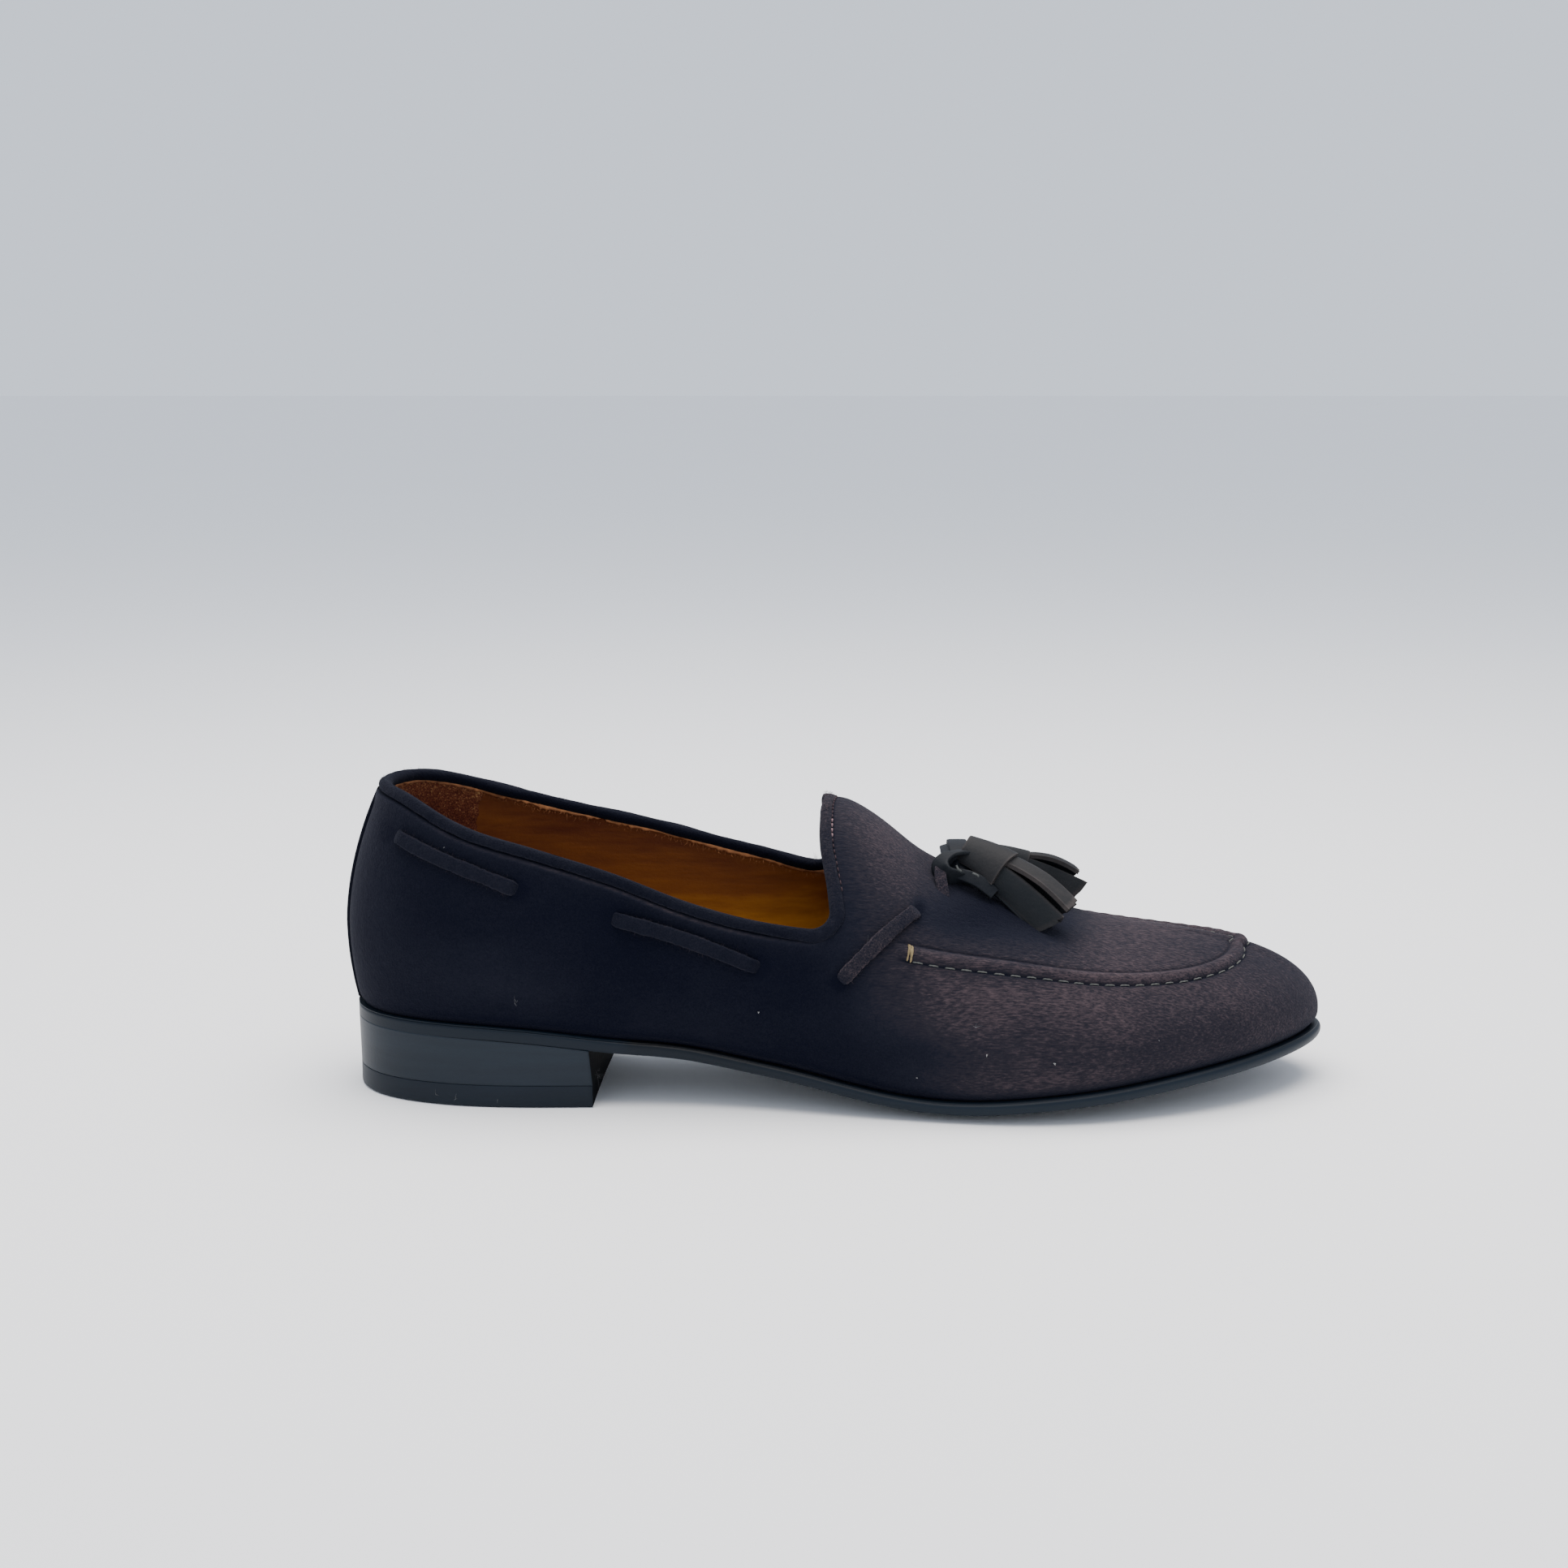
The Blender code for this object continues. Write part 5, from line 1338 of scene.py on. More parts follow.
def makeStack():
    # wall that blends from the flat lift to the curved seat under the sole
    lift, taper = heel["liftThickness"], heel["taper"]
    overLift, underSeat = heel["stackEnds"]
    layers = [(taper + inset, rake, height, 0.0, 0.0) for inset, rake, height in heel["stackFoot"]]
    layers += [(taper * (1 - share), share, overLift, underSeat, share) for share in np.linspace(0, 1, heel["rows"])]
    layers.append((0.0, 1.0, 0.0, 0.0, 1.0))
    rings = []
    for inset, rake, over, under, share in layers:
        ring = heelRing(inset, rake)
        seat = soleEdgeAt(np.maximum(ring[:, 0] - shift[0], 0)) - heel["seatGap"]
        ring[:, 2] = (lift + over) * (1 - share) + (seat - under) * share
        rings.append(ring)
    count = len(rings[0])
    faces = gridQuads(len(rings), count, wrap=True)
    faces += [list(range(count)), [(len(rings) - 1) * count + i for i in range(count)]]
    blackenBreast(makePiece("heelStack", np.array(rings), faces, heelBlack, ["heel_stack"], "blackened_heel"))


def blackenBreast(piece):
    # flat faces at top, bottom and breast, and the matt finish of the breast
    piece.data.materials.append(breastBlack)
    for polygon in piece.data.polygons:
        if abs(polygon.normal.z) > 0.85 or polygon.normal.x > 0.80:
            polygon.use_smooth = False
        if polygon.normal.x > 0.80:
            polygon.material_index = 1


def makeLift():
    lift = heel["liftThickness"]
    layers = heel["liftFoot"] + [(inset, lift + height) for inset, height in heel["liftTop"]]
    rings = []
    for inset, height in layers:
        ring = heelRing(heel["taper"] + inset, 0)
        ring[:, 2] = height
        rings.append(ring)
    rings = np.array(rings)
    count = rings.shape[1]
    points = np.concatenate([rings.reshape(-1, 3), rings[[0, -1]].mean(axis=1)])
    faces = gridQuads(len(rings), count, wrap=True)
    for ring, centre in ((0, len(points) - 2), (len(rings) - 1, len(points) - 1)):
        faces += [[ring * count + i, ring * count + (i + 1) % count, centre] for i in range(count)]
    blackenBreast(makePiece("topLift", points, faces, liftRubber, ["top_lift"], "top_lift_rubber"))


def makeInsole():
    rows, columns = sole["insoleGrid"]
    turns, share = np.linspace(0.004, 0.985, rows), np.linspace(0, 1, columns)
    inset = np.full(rows, -(last["wall"] + last["gap"]))
    points = bridge(outlinePoint(turns, inset, 0.0), outlinePoint(2 - turns, inset, 0.0), share)
    rounded = np.minimum(1, (1 - np.abs(2 * share - 1)) * 9) ** 0.5
    base = underEdge(points) + last["soleThickness"] + last["gap"]
    points[..., 2] = base + sole["insoleThickness"] * (0.25 + 0.75 * rounded)
    makePiece("insoleSock", points, gridQuads(rows, columns), sockLeather, ["insole"], "tan_lining")


makeOutsole()
makeStack()
makeLift()
makeInsole()
print("sole, heel and insole made")

# lace stretches
laces = {
    "width": 0.0043,
    "thickness": 0.0013,
    "standOff": 0.0004,
    "crossBow": -0.013,  # rise by which the slanting stretch is pulled straight
    "rows": 70,
    "unevenness": 0.00016,
    # section, as shares of half the width and of the thickness
    "profile": [
        (-1, 0.10), (-1.03, 0.45), (-0.96, 0.85), (-0.75, 1.02), (-0.35, 1.08), (0, 1.09), (0.35, 1.08), (0.75, 1.02),
        (0.96, 0.85), (1.03, 0.45), (1, 0.10),
    ],
    # ends that go down into their slits: depth and reach, then narrowing and reach
    "sink": (0.0021, 0.0035),
    "narrowing": (0.35, 0.0022),
    "edgeTone": 0.14,
    # darker where the ends sink into their slits: painted shade
    "endTone": -0.25,
    "fuzzTone": 0.62,
    "hairs": 110,  # for each stretch
    "hairLength": (0.0003, 0.0011),
    "hairThickness": 0.00007,
}


def wallPlace(along, high, side):
    # turn and rise of a place on the wall, from its distance along and its height in metres
    turn = turnWhere(along)
    turn = turn if side < 0 else 2 - turn
    return np.array([turn, float(riseWhere(np.array([turn]), high)[0])])


def makeLace(side, start, end, tone, bow, seed):
    # skin, tones and loose hairs of one stretch
    first, final = (wallPlace(along * last["length"], high * last["backHeight"], side) for along, high in (start, end))
    rows, profile, hairs = laces["rows"], laces["profile"], laces["hairs"]
    share = np.linspace(0, 1, rows)[:, None]
    spots = first + (final - first) * share + np.array([0, bow]) * 4 * share * (1 - share)
    points, normals = surfacePoint(spots[:, 0], spots[:, 1]), surfaceNormal(spots[:, 0], spots[:, 1])
    across = unit(np.cross(normals, unit(np.gradient(points, axis=0))))
    toEnd = np.minimum(share[:, 0], 1 - share[:, 0]) * np.linalg.norm(np.diff(points, axis=0), axis=1).sum()
    (depth, sinkReach), (narrowing, narrowReach) = laces["sink"], laces["narrowing"]
    sink = np.clip(1 - toEnd / sinkReach, 0, 1) ** 2
    narrow = 1 - narrowing * np.clip(1 - toEnd / narrowReach, 0, 1) ** 2
    rough = np.random.default_rng(seed)
    wander = calmed(rough.normal(0, 1, rows + 4), 5)
    edgeWander = rough.normal(0, 1, (2, rows))
    rings, tones = [], []
    for away, lift in profile:
        ragged = edgeWander[0 if away < 0 else 1] * 0.35 + wander
        half = laces["width"] / 2 * narrow + laces["unevenness"] * ragged * (abs(away) > 0.7)
        height = laces["standOff"] + laces["thickness"] * lift - depth * sink
        rings.append(points + across * (half * away)[:, None] + normals * height[:, None])
        # the sunk ends darkened as painted shade
        tones.append(tone + laces["edgeTone"] * (abs(away) > 0.9) + 0.04 * wander + laces["endTone"] * sink)
    grid = np.moveaxis(np.array(rings), 0, 1)
    loose = rough.integers(4, rows - 4, hairs)
    edge = rough.choice([1, len(profile) - 2], hairs)
    outwards = across[loose] * np.where(edge == 1, -1, 1)[:, None] + normals[loose] * 0.5
    lengths = rough.uniform(*laces["hairLength"], hairs)
    fibres = hairsAt(grid[loose, edge], outwards, lengths, laces["hairThickness"], seed)
    return (grid, gridQuads(rows, len(profile))), np.array(tones).T.ravel(), fibres


def makeLaces():
    loose = []
    for label, side, column in (("lateral", -1, 1), ("medial", 1, 2)):
        for number, row in enumerate(laceStretches):
            start, end = (row[1], row[column + 1]), (row[4], row[column + 4])
            bow = laces["crossBow"] if row[0] == "cross_lace" else 0
            (points, faces), tones, hairs = makeLace(side, start, end, row[7], bow, 40 + number * 7 + column)
            name = row[0].replace("_lace", "Lace") + label.capitalize()
            makePiece(name, points, faces, laceSuede, [row[0] + "_" + label], "suede_lace", tones)
            loose.append(hairs)
    points, faces = joined(loose)
    makePiece("laceFuzz", points, faces, laceSuede, (), "suede_lace", np.full(len(points), laces["fuzzTone"]))


makeLaces()
print("laces made")

# stitches
stitching = {
    "length": 0.0031,
    "pitch": 0.00487,
    "thickness": 0.00047,
    "standOff": 0.0001,
    # turning of the plies round one another: number, turn along half a stitch, and how deep it shows
    "twist": (2, 4.1, 0.16),
    "firstPlace": 0.5668,  # share of the length where the seam begins
    "outerStep": 1.02,  # in half widths of the seam
    "innerStep": 1.00,
    # threads wound over the seam's start: their number, place before the first stitch, gap and thickness
    "tacks": 3,
    "tackPlace": 0.0008,
    "tackGap": 0.0017,  # turn
    "tackThickness": (0.00056, 0.00012),  # and what each second one has more
    # stitches that climb the tongue
    "tongueLength": 0.0013,
    "tongueThickness": 0.0004,
    "tongueStandOff": 0.00015,
    "tongueMiddle": 0.003,
    "tonguePitch": 0.0021,
    "tongueStep": -0.00278,
    "tongueClimb": (0.10, 0.95),
    "pinkHeights": (0.0795, 0.0846),
    "pinkThickness": 0.00055,
}


def stitchAlong(points, normals, thick, around=9, rows=13):
    # thread with a visible twist whose two ends go down into the leather
    centres, share = smoothPath(points, rows), np.linspace(-1, 1, rows)
    facing = unit(readAt(np.linspace(0, 1, rows), np.linspace(0, 1, len(normals)), normals))
    across = unit(np.cross(facing, unit(np.gradient(centres, axis=0))))
    arch = np.sqrt(np.maximum(1 - np.abs(share) ** 3, 0.0))
    angle = np.linspace(0, 2 * math.pi, around, endpoint=False)[None, :]
    plies, turned, depth = stitching["twist"]
    twist = 1 + depth * np.cos(plies * (angle - turned * share[:, None]))
    radius = thick / 2 * (0.55 + 0.45 * arch)[:, None] * twist
    lifted = centres + facing * ((arch - 0.55) * thick * 0.9)[:, None]
    ring = lifted[:, None] + across[:, None] * (radius * np.cos(angle))[..., None]
    ring = ring + facing[:, None] * (radius * np.sin(angle) * 0.8)[..., None]
    return ring.reshape(-1, 3), tubeFaces(rows, around)


def seamStitches(step, phase, seed, firstTurn=None):
    # one row of stitches along the seam, step half widths off its crest; minus is the outer side
    loose = np.random.default_rng(seed)
    startTurn = turnWhere(stitching["firstPlace"] * last["length"])
    startLength, endLength = float(seamLengthAt(firstTurn or startTurn)), float(seamLengthAt(2 - startTurn))
    parts = []
    place = startLength + phase
    while place + stitching["length"] < endLength:
        lengths = place + np.linspace(0, 1, 5) * stitching["length"] * loose.uniform(0.92, 1.06)
        turns = np.interp(lengths, seamLengths, seamTurns)
        crest = seamCrest(turns)
        half = upperShape["seamWidth"] / 2 / riseReach(turns, crest)
        rises = crest + half * (step + loose.uniform(-0.03, 0.03))
        normals = surfaceNormal(turns, rises)
        lift, _ = upperRelief(turns, rises, crest)
        points = surfacePoint(turns, rises) + normals * (lift + stitching["standOff"])[:, None]
        parts.append(stitchAlong(points, normals, stitching["thickness"]))
        place += stitching["pitch"] * loose.uniform(0.97, 1.03)
    return parts


def barTack(side):
    # threads wound over the seam where it begins
    startTurn = turnWhere(stitching["firstPlace"] * last["length"] - stitching["tackPlace"])
    thick, more = stitching["tackThickness"]
    loose = np.random.default_rng(21)
    parts = []
    for number in range(stitching["tacks"]):
        turn = startTurn + stitching["tackGap"] * number + loose.normal(0, 0.0002)
        turn = turn if side < 0 else 2 - turn
        crest = float(seamCrest(np.array([turn]))[0])
        half = upperShape["seamWidth"] / 2 / float(riseReach(turn, crest))
        rises = crest + half * np.linspace(-1.05 + loose.uniform(-0.15, 0.1), 0.95 + loose.uniform(-0.2, 0.1), 7)
        turns = turn + 0.0008 * np.linspace(-1, 1, 7) * (-1) ** number
        normals = surfaceNormal(turns, rises)
        lift, _ = upperRelief(turns, rises, np.full(7, crest))
        points = surfacePoint(turns, rises) + normals * (lift + 2 * stitching["standOff"])[:, None]
        parts.append(stitchAlong(points, normals, thick + more * (number % 2), rows=17))
    return parts


def tongueStitches():
    # small stitches beside the binding where it climbs the tongue; the few with pink lint on them apart
    frames = collarFrames()
    points, normals = frames[2:4]
    wider, climbed = bindingWidth()
    lengths, run = lengthsAlong(points), stitching["tongueLength"]
    spots = collarSpots(frames, stitching["tongueStep"] * wider, np.full(len(wider), stitching["tongueStandOff"]))
    (low, high), (pinkLow, pinkHigh) = stitching["tongueClimb"], stitching["pinkHeights"]
    plain, pink = [], []
    for near in (True, False):
        beside = (points[:, 1] < stitching["tongueMiddle"]) == near
        half = np.flatnonzero((climbed > low) & (climbed < high) & beside)
        place = lengths[half[0]]
        while place + run < lengths[half[-1]]:
            at = place + np.linspace(0, 1, 4) * run
            spot, facing = readAt(at, lengths, spots), unit(readAt(at, lengths, normals))
            lit = near and pinkLow < spot[0, 2] < pinkHigh
            thick = stitching["pinkThickness" if lit else "tongueThickness"]
            (pink if lit else plain).append(stitchAlong(spot, facing, thick, around=7, rows=9))
            place += stitching["tonguePitch"]
    return plain, pink


seamParts = seamStitches(-stitching["outerStep"], 0.0006, 5) + seamStitches(stitching["innerStep"], 0.0, 6, 0.975)
plainStitches, pinkStitches = tongueStitches()
makePiece("apronStitches", *joined(seamParts), greyThread)
makePiece("seamTacks", *joined(barTack(-1) + barTack(1)), tackThread)
makePiece("tongueStitches", *joined(plainStitches), roseThread)
makePiece("pinkStitches", *joined(pinkStitches), pinkThread)
print("stitches made")

# tied lace
knot = {
    "thickness": 0.0013,
    "steps": 46,
    "around": 20,
    "edgeCorners": (0, 1, 9, 10, 11, 19),  # of the corners around, those on a cut edge
    "squareness": 5.0,
    "ridge": 5.6,  # mm, middle of the vamp where the far loop is mirrored
    # each band: rows of x, y, z in mm from the back of the heel, its facing, and its width in mm
    "nearLoop": [
        (194.0, -3.6, 70.8, 0.3, 0.0, 1.0, 3.6), (189.6, -5.9, 72.8, 0.0, 0.0, 1.0, 3.2),
        (185.6, -7.7, 72.9, -0.2, -0.1, 1.0, 3.2), (182.3, -9.4, 71.7, -0.7, -0.7, 0.5, 4.6),
        (181.2, -10.9, 69.7, -0.7, -0.9, 0.1, 6.4), (182.1, -12.1, 67.7, -0.5, -1.0, -0.2, 6.6),
        (185.2, -11.8, 66.5, -0.1, -1.0, -0.4, 5.6), (188.8, -9.6, 65.6, 0.2, -0.8, -0.6, 4.4),
    ],
    "frontWrap": [
        (189.0, -8.6, 65.0, 0.2, -1.0, 0.1, 5.6), (188.2, -5.8, 68.8, 0.1, -0.9, 0.5, 5.8),
        (187.6, -1.6, 72.2, 0.0, -0.4, 0.9, 6.0), (187.4, 4.6, 73.5, 0.0, 0.0, 1.0, 6.0),
        (187.6, 11.8, 72.4, 0.0, 0.4, 0.9, 6.2), (188.2, 17.0, 69.0, 0.1, 0.9, 0.5, 6.2),
        (189.0, 19.0, 65.2, 0.2, 1.0, 0.1, 6.4),
    ],
    "rearWrap": [
        (184.8, -8.0, 67.2, -0.4, -1.0, 0.3, 5.0), (184.6, -4.4, 70.6, -0.3, -0.6, 0.8, 5.2),
        (184.6, 1.2, 71.8, -0.3, -0.2, 1.0, 5.2), (184.8, 9.6, 71.6, -0.3, 0.2, 1.0, 5.2),
        (185.4, 14.4, 69.6, -0.3, 0.6, 0.8, 5.2), (186.6, 16.8, 66.8, -0.4, 1.0, 0.3, 5.0),
    ],
    # dark band set behind the near loop's opening: painted shade in its hollow
    "hollowBack": [
        (182.6, -7.0, 70.2, 0.0, -1.0, 0.2, 4.6), (186.2, -5.8, 70.2, 0.0, -1.0, 0.2, 6.4),
        (191.5, -4.8, 69.4, 0.0, -1.0, 0.2, 6.0),
    ],
    "farFlat": 0.24,  # how high the far loop stands against the near one
    "farShift": 4.0,
    "farLevels": (66, 65.2),  # mm, height on the near side that comes to lie at a height on the far one
    "threads": [
        [(186.0, -13.4, 70.4), (186.7, -13.7, 69.2), (187.5, -13.4, 68.6)],
        [(190.9, -13.6, 68.0), (191.9, -13.9, 67.7), (192.8, -13.6, 67.0)],
    ],
    # hidden core, darkened as painted shade between the bands: x and top, how its top rounds off, its places across,
    # width and thickness in mm
    "core": ((188.0, 67.4), 0.022, (-7.5, -1, 5.6, 9, 12.5), 5.4, 6.0),
    "tones": {
        "nearLoop": 0.15, "frontWrap": -0.06, "rearWrap": -0.04, "underStrand": 0.08, "hollowBack": -0.10,
        "farLoop": -0.02, "core": -0.06,
    },
    "endTone": 0.52,
    "edgeTone": 0.20,  # how much lighter the cut edges of the lace are
    "underStrand": [
        (186.8, -11.0, 67.2, -0.2, -0.9, 0.4, 3.4), (190.6, -11.6, 66.2, 0.1, -0.9, 0.4, 4.0),
        (194.6, -12.4, 64.0, 0.2, -0.9, 0.4, 4.2), (197.6, -13.0, 61.4, 0.3, -0.9, 0.3, 3.8),
    ],
    "nearEnd": [
        (181.4, -10.6, 69.4, -0.3, -0.9, 0.4, 3.4), (181.2, -13.0, 67.4, -0.2, -0.8, 0.6, 3.6),
        (181.6, -15.4, 64.6, -0.1, -0.8, 0.6, 3.6), (182.2, -17.6, 61.2, 0.0, -0.8, 0.6, 3.2),
    ],
}


def knotBand(rows, mirrored=False, thick=knot["thickness"]):
    rows = np.array(rows, float)
    if mirrored:
        nearLevel, farLevel = knot["farLevels"]
        rows[:, 1] = 2 * knot["ridge"] - rows[:, 1]
        rows[:, 4] *= -1
        rows[:, 2] = farLevel + (rows[:, 2] - nearLevel) * knot["farFlat"]
        rows[:, 0] += knot["farShift"]
    path = smoothPath(rows[:, :3], knot["steps"]) / 1000 + shift
    along = lengthsAlong(rows[:, :3])
    read = readAt(np.linspace(0, along[-1], knot["steps"]), along, rows[:, 3:])
    return bandAround(path, unit(read[:, :3]), read[:, 3] / 1000, thick, knot["around"], knot["squareness"])


def makeKnot():
    names = ("nearLoop", "frontWrap", "rearWrap", "underStrand", "hollowBack")
    parts = [knotBand(knot[name]) for name in names] + [knotBand(knot["nearLoop"], mirrored=True)]
    (x, top), rounding, places, width, thick = knot["core"]
    core = [(x, y, top - rounding * (y - knot["ridge"]) ** 2, 0, 0, 1, width) for y in places]
    parts.append(knotBand(core, thick=thick / 1000))
    tones = tonesOf(parts, [knot["tones"][name] for name in (*names, "farLoop", "core")])
    corner = np.arange(len(tones)) % knot["around"]
    tones = tones + knot["edgeTone"] * np.isin(corner, knot["edgeCorners"]) * (tones > 0.02)
    tied = makePiece("tiedLace", *joined(parts), tasselLeather, ["lace_knot"], "tassel_leather", tones)
    tied.data.set_sharp_from_angle(angle=math.radians(50))
    points, faces = joined([knotBand(knot["nearEnd"]), knotBand(knot["nearEnd"], mirrored=True)])
    makePiece("laceEnds", points, faces, laceSuede, (), "suede_lace", np.full(len(points), knot["endTone"]))
    threads, steps = [], 14
    for rows in knot["threads"]:
        path = smoothPath(rows, steps) / 1000 + shift
        threads.append(bandAround(path, np.tile([0, -1.0, 0.2], (steps, 1)), 0.0006, 0.0004, 8, 2.0))
    makePiece("looseThread", *joined(threads), greyThread)


makeKnot()
print("tied lace made")

# tassels
tassels = {
    "near": {
        "name": "tasselNear",
        "node": "tassel_lateral",
        "path": [
            (189.6, -2.0, 71.6), (195.4, -5.2, 69.4), (201.0, -8.4, 66.3), (209.4, -13.3, 60.3), (217.4, -18.0, 53.6),
        ],
        "band": 13.4,  # mm along the path to the band's mouth
        "up": (0.65, 0.15, 0.75),
        "bandRadii": ((6.1, 4.6), (8.2, 5.6)),  # upward and towards the viewer, at the knot and at the mouth
        "tailRadii": (7.7, 3.8),
        "overlap": 128,  # degrees round from upward where the wrap's loose edge lies
        "bandTone": 0.60,
        # strips: middle and half width in degrees, length past the mouth in mm, slant of the cut, bow, tone; the tone
        # is higher on the strips that face up and lower on those that face down, as painted light and shade
        "strips": [
            (26, 35, 22.8, 0.4, 0.9, 0.66), (114, 39, 22.8, -4.4, -0.6, 0.38), (190, 31, 20.5, 1.0, 0.0, 0.10),
            (255, 27, 21.5, -1.5, 0.0, 0.15), (318, 25, 22.5, 1.5, 0.0, 0.40),
        ],
    },
    "far": {
        "name": "tasselFar",
        "node": "tassel_medial",
        "path": [
            (194.6, 8.4, 69.4), (201.0, 9.8, 67.8), (208.0, 11.2, 65.3), (217.2, 13.2, 60.9), (226.4, 15.2, 55.6),
        ],
        "band": 14.6,
        "up": (0.36, 0.18, 0.92),
        "bandRadii": ((4.2, 3.8), (5.6, 4.4)),
        "tailRadii": (6.2, 3.5),
        "overlap": 250,
        "bandTone": 0.48,
        "strips": [
            (14, 22, 16.8, 1.4, 1.0, 0.60), (88, 34, 19.8, -2.0, -1.3, 0.46), (150, 26, 19.0, 1.2, 0.0, 0.12),
            (212, 30, 19.5, -1.0, 0.0, 0.12), (272, 26, 19.5, 1.4, 0.3, 0.20), (326, 22, 18.0, 0.8, 0.3, 0.30),
        ],
    },
    "sheet": 1.25,  # mm
    "wound": 430,  # degrees that the band goes round
    "windDepth": 1.15,  # mm by which each turn of it lies under the last
    "bandGrid": (18, 110),
    "hidden": 3.0,  # mm of each strip inside the band
    "inBand": 1.5,  # mm by which the strips lie inside it there
    "flatness": 0.75,
    "jag": 0.30,
    "cutTone": 0.24,  # how much lighter the raw cut edges are
    "stripGrid": (26, 11),
}


def tasselFrames(shape, distances):
    # middle of the tassel at distances in mm along its path, and the ways upward and towards the viewer
    path = smoothPath(shape["path"], 200)
    along = lengthsAlong(path)
    centres, ahead, behind = (readAt(distances + step, along, path) for step in (0, 0.5, -0.5))
    travel = unit(ahead - behind)
    toward = unit(np.cross(travel, np.array(shape["up"], float)))
    toward *= np.sign(-toward[0][1])
    upward = unit(np.cross(toward, travel))
    upward *= np.sign(upward[0][2])
    return centres, upward, toward


def tasselBand(shape):
    # the strip is wound more than a turn, so its loose edge lies over the first turn
    (rows, columns), wound = tassels["bandGrid"], tassels["wound"]
    share = np.linspace(0, 1, rows)
    centres, upward, toward = tasselFrames(shape, share * shape["band"])
    travel = np.cross(upward, toward)
    travel *= np.sign((travel * (centres[-1] - centres[0])).sum(axis=-1, keepdims=True))
    (upStart, towardStart), (upEnd, towardEnd) = shape["bandRadii"]
    radiusUp = upStart + (upEnd - upStart) * share**1.1
    radiusToward = towardStart + (towardEnd - towardStart) * share
    angle = np.radians(shape["overlap"] - np.linspace(0, wound, columns))
    turns = np.linspace(0, wound / 360, columns)
    depth = -turns * tassels["windDepth"] * (1 - 0.2 * np.sin(turns * 5))
    wander = 0.45 * np.sin(angle + 0.6) + 0.25 * np.sin(angle * 3 + 1.0)
    slide = (share[:, None] - 0.5) * 2 * wander[None, :]
    skins = []
    for inward in (0.0, tassels["sheet"]):
        up = (radiusUp[:, None] + depth[None, :] - inward) * np.cos(angle)
        side = (radiusToward[:, None] + depth[None, :] - inward) * np.sin(angle)
        spot = centres[:, None] + upward[:, None] * up[..., None] + toward[:, None] * side[..., None]
        skins.append(spot + travel[:, None] * slide[..., None])
    ring = np.concatenate([skins[0], skins[1][:, ::-1]], axis=1)
    tone = np.full(ring.shape[:2], shape["bandTone"])
    tone[[0, -1]] += tassels["cutTone"]
    tone[:, [0, -1]] += tassels["cutTone"]
    return (ring.reshape(-1, 3) / 1000 + shift, sheetFaces(rows, columns)), tone.ravel()


def tasselStrip(shape, strip, seed):
    # one cut strip, curved round under the band and flatter towards its tip
    middle, half, length, slant, bow, tone = strip
    (rows, columns), hidden, inBand = tassels["stripGrid"], tassels["hidden"], tassels["inBand"]
    low, centre, high = (np.radians(middle + step) for step in (-half, 0, half))
    facingUp, facingToward = np.cos(centre), np.sin(centre)
    swell = (1 - np.cos(np.radians(half))) * 0.5
    across = np.linspace(-1, 1, columns)
    jag = calmed(np.random.default_rng(seed).normal(0, tassels["jag"], columns + 2), 3)
    skins = []
    for inward in (0.0, tassels["sheet"]):
        lines = []
        for share, tipShift in zip(across, slant * across / 2 + jag):
            distance = shape["band"] - hidden + np.linspace(0, 1, rows) * (length + hidden + tipShift)
            centres, upward, toward = tasselFrames(shape, distance)
            tail = np.clip((distance - shape["band"]) / length, 0, 1)
            radii = zip(shape["bandRadii"][1], shape["tailRadii"])
            up, side = (inner - inBand + (outer - inner + inBand) * tail**0.7 for inner, outer in radii)
            angle, part = np.radians(middle + share * half), (share + 1) / 2
            flat = tassels["flatness"] * np.clip(tail * 2.0, 0, 1)
            chordUp = np.cos(low) * (1 - part) + np.cos(high) * part
            chordToward = np.sin(low) * (1 - part) + np.sin(high) * part
            spotUp = np.cos(angle) * (1 - flat) + (chordUp + facingUp * swell) * flat
            spotToward = np.sin(angle) * (1 - flat) + (chordToward + facingToward * swell) * flat
            bend = bow * np.sin(tail * math.pi) + 0.5 * abs(bow) * tail**2
            spot = centres + upward * (up * spotUp)[:, None] + toward * (side * spotToward)[:, None]
            spot += (upward * facingUp + toward * facingToward) * (bend - inward)[:, None]
            lines.append(spot)
        skins.append(np.moveaxis(np.array(lines), 0, 1))
    ring = np.concatenate([skins[0], skins[1][:, ::-1]], axis=1)
    tones = np.full(ring.shape[:2], tone)
    tones[-2:] += tassels["cutTone"]
    tones[:, [0, columns - 1, columns, -1]] += tassels["cutTone"]
    return (ring.reshape(-1, 3) / 1000 + shift, sheetFaces(rows, columns)), tones.ravel()


def makeTassel(shape, seed):
    made = [tasselBand(shape)] + [tasselStrip(shape, strip, seed + i) for i, strip in enumerate(shape["strips"])]
    tones = np.concatenate([tone for _, tone in made])
    parts = joined([part for part, _ in made])
    piece = makePiece(shape["name"], *parts, tasselLeather, [shape["node"]], "tassel_leather", tones)
    piece.data.set_sharp_from_angle(angle=math.radians(38))


makeTassel(tassels["near"], 60)
makeTassel(tassels["far"], 80)
print("tassels made")

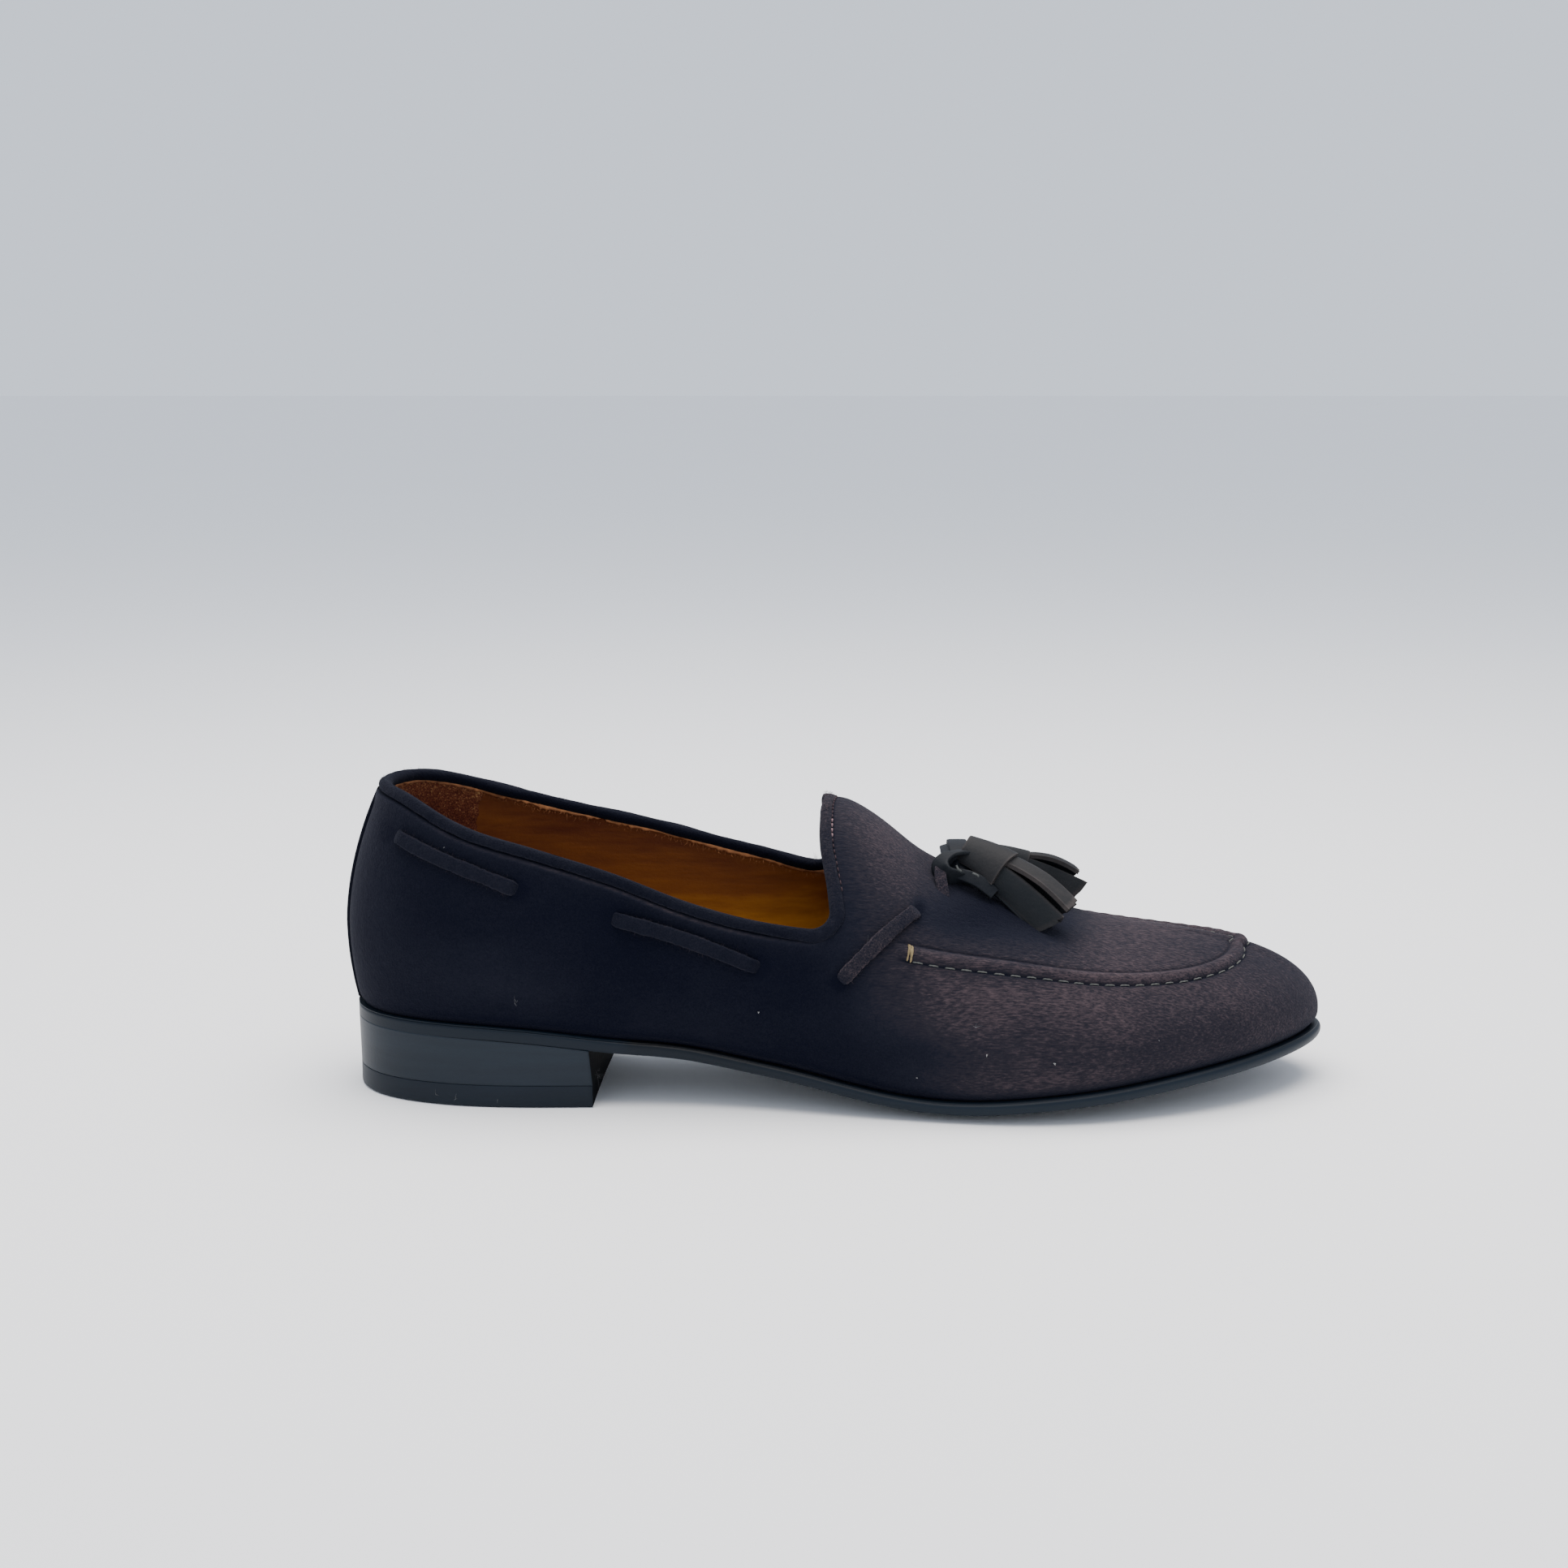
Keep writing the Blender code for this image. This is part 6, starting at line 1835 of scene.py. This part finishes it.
# fuzz, lint and dust
fuzz = {
    "collarHairs": 1500,
    "napHairs": 2600,
    "hairLength": (0.00025, 0.0008),
    "hairThickness": 0.00006,
    "collarTone": 0.10,
    "napTone": 0.06,
    # pale specks of dust: along, height, size, in metres
    "dust": [
        (0.1931, 0.0214, 0.00036), (0.2128, 0.0189, 0.00042), (0.1265, 0.0309, 0.00030), (0.0310, 0.0790, 0.00040),
        (0.1730, 0.0135, 0.00022), (0.2440, 0.0240, 0.00022),
    ],
    # wisps of lint: along, height, number of fibres, their length
    "lint": [(0.0542, 0.0328, 5, 0.0030), (0.1580, 0.0510, 3, 0.0022), (0.1900, 0.0290, 3, 0.0026)],
    # lint on the heel's side: turn along, height, fibres
    "heelLint": [(0.0352, 0.0022, 5), (0.0291, 0.0030, 4), (0.0480, 0.0026, 2)],
    "breastLint": (-0.0302, 0.0085),  # across and height, under the heel's breast
    "collarLint": (0.1445, 0.022, 0.066),
}


def makeFuzz():
    loose = np.random.default_rng(31)
    frames = collarFrames()
    at = loose.integers(0, len(frames[0]), fuzz["collarHairs"])
    steps, lifts = loose.uniform(-0.0022, 0.0006, len(at)), np.full(len(at), 0.0009)
    roots = collarSpots([part[at] for part in frames], steps, lifts)
    outward = frames[3][at] + frames[4][at] * loose.uniform(0, 1.2, len(at))[:, None]
    lengths = loose.uniform(*fuzz["hairLength"], len(at))
    points, faces = hairsAt(roots, outward, lengths, fuzz["hairThickness"], 32, 0.7)
    tones = np.repeat(toneAt(roots) + fuzz["collarTone"], len(points) // len(at))
    makePiece("collarFuzz", points, faces, bindingSuede, (), "suede_binding", tones)

    turns = loose.uniform(0, 2, fuzz["napHairs"])
    crest = seamCrest(turns)
    top = np.where(fold(turns) > throatTurn, 0.999, crest - 0.02)
    rises = 0.04 + (top - 0.04) * loose.uniform(0, 1, len(turns)) ** 0.7
    lift, _ = upperRelief(turns, rises, crest)
    real = leaned(turns, rises, crest)
    normals = surfaceNormal(real, rises)
    roots = surfacePoint(real, rises) + normals * (lift - 0.00005)[:, None]
    lengths = loose.uniform(*fuzz["hairLength"], len(turns)) * 0.8
    points, faces = hairsAt(roots, normals * 0.45 + np.array([0.9, 0, 0]), lengths, fuzz["hairThickness"], 33, 0.4)
    tones = np.repeat(toneAt(roots) + fuzz["napTone"], len(points) // len(turns))
    makePiece("napFuzz", points, faces, suede, (), "brown_suede", tones)


def makeLint():
    loose = np.random.default_rng(35)
    chips, wisps = [], []
    for along, high, size in fuzz["dust"]:
        turn, rise = wallPlace(along, high, -1)
        point, normal = surfacePoint(turn, rise), surfaceNormal(turn, rise)
        roots = point + normal * 0.00012 + loose.normal(0, size * 0.3, (4, 3))
        directions = loose.normal(0, 1, (4, 3)) * np.array([1.0, 0.2, 1.0])
        chips.append(hairsAt(roots, directions, np.full(4, size), size * 0.9, int(along * 1e4), 0.3))
    for along, high, count, length in fuzz["lint"]:
        turn, rise = wallPlace(along, high, -1)
        point, normal = surfacePoint(turn, rise), surfaceNormal(turn, rise)
        roots = point + normal * 0.00015 + loose.normal(0, 0.0003, (count, 3)) * np.array([1, 0, 1])
        directions = loose.normal(0, 1, (count, 3)) * np.array([0.5, 0.05, 1.0]) + normal * 0.1
        wisps.append(hairsAt(roots, directions, loose.uniform(0.5, 1, count) * length, 0.00009, int(along * 1e4), 0.4))
    for along, high, count in fuzz["heelLint"]:
        turn = turnWhere(along)
        reach = float(lastAt(turn)[5]) - heel["taper"] + 0.0001
        point = outlinePoint(np.array([turn]), np.array([reach]), high)[0]
        directions = loose.normal(0, 1, (count, 3)) * np.array([1.0, 0.1, 1.0])
        roots, lengths = np.tile(point, (count, 1)), loose.uniform(0.0006, 0.0018, count)
        wisps.append(hairsAt(roots, directions, lengths, 0.00008, int(along * 1e4), 0.5))
    breast = np.array([heel["length"], *fuzz["breastLint"]]) + np.array([shift[0], 0, 0])
    roots = breast + loose.normal(0, 0.0007, (9, 3)) * np.array([0.5, 0.3, 1.2])
    directions = loose.normal(0, 1, (9, 3)) + np.array([0.6, 0, 0])
    wisps.append(hairsAt(roots, directions, loose.uniform(0.001, 0.0026, 9), 0.00008, 77, 0.8))
    edge = collarFrames()[2]
    nearest = np.argmin(np.linalg.norm(edge - (np.array(fuzz["collarLint"]) + shift), axis=1))
    roots = edge[nearest] + np.array([0, 0, 0.0009]) + loose.normal(0, 0.0003, (7, 3))
    directions = loose.normal(0, 0.6, (7, 3)) + np.array([0, 0, 0.8])
    wisps.append(hairsAt(roots, directions, loose.uniform(0.001, 0.0028, 7), 0.00009, 78, 0.8))
    makePiece("dustSpecks", *joined(chips), paleDust)
    makePiece("lintWisps", *joined(wisps), lintFibre)


makeFuzz()
makeLint()
print("fuzz and lint made")

# floor and finish
def makeFloor():
    mesh = bpy.data.meshes.new("paleFloor")
    reach, level = studio["floorReach"], -studio["floorDrop"]
    corners = [(-reach, -reach, level), (reach, -reach, level), (reach, reach, level), (-reach, reach, level)]
    mesh.from_pydata(corners, [], [(0, 1, 2, 3)])
    finish, tree, shader, place = newFinish("paleFloor", 0.9, 0.1)
    colour = studio["floorColour"]
    stops = [(0.3, colour), (0.7, [value * 0.995 for value in colour])]
    tree.links.new(rampIn(tree, noiseIn(tree, place, 3.0, 2.0), stops), shader.inputs["Base Color"])
    mesh.materials.append(finish)
    floor = bpy.data.objects.new("paleFloor", mesh)
    bpy.context.scene.collection.objects.link(floor)


makeFloor()
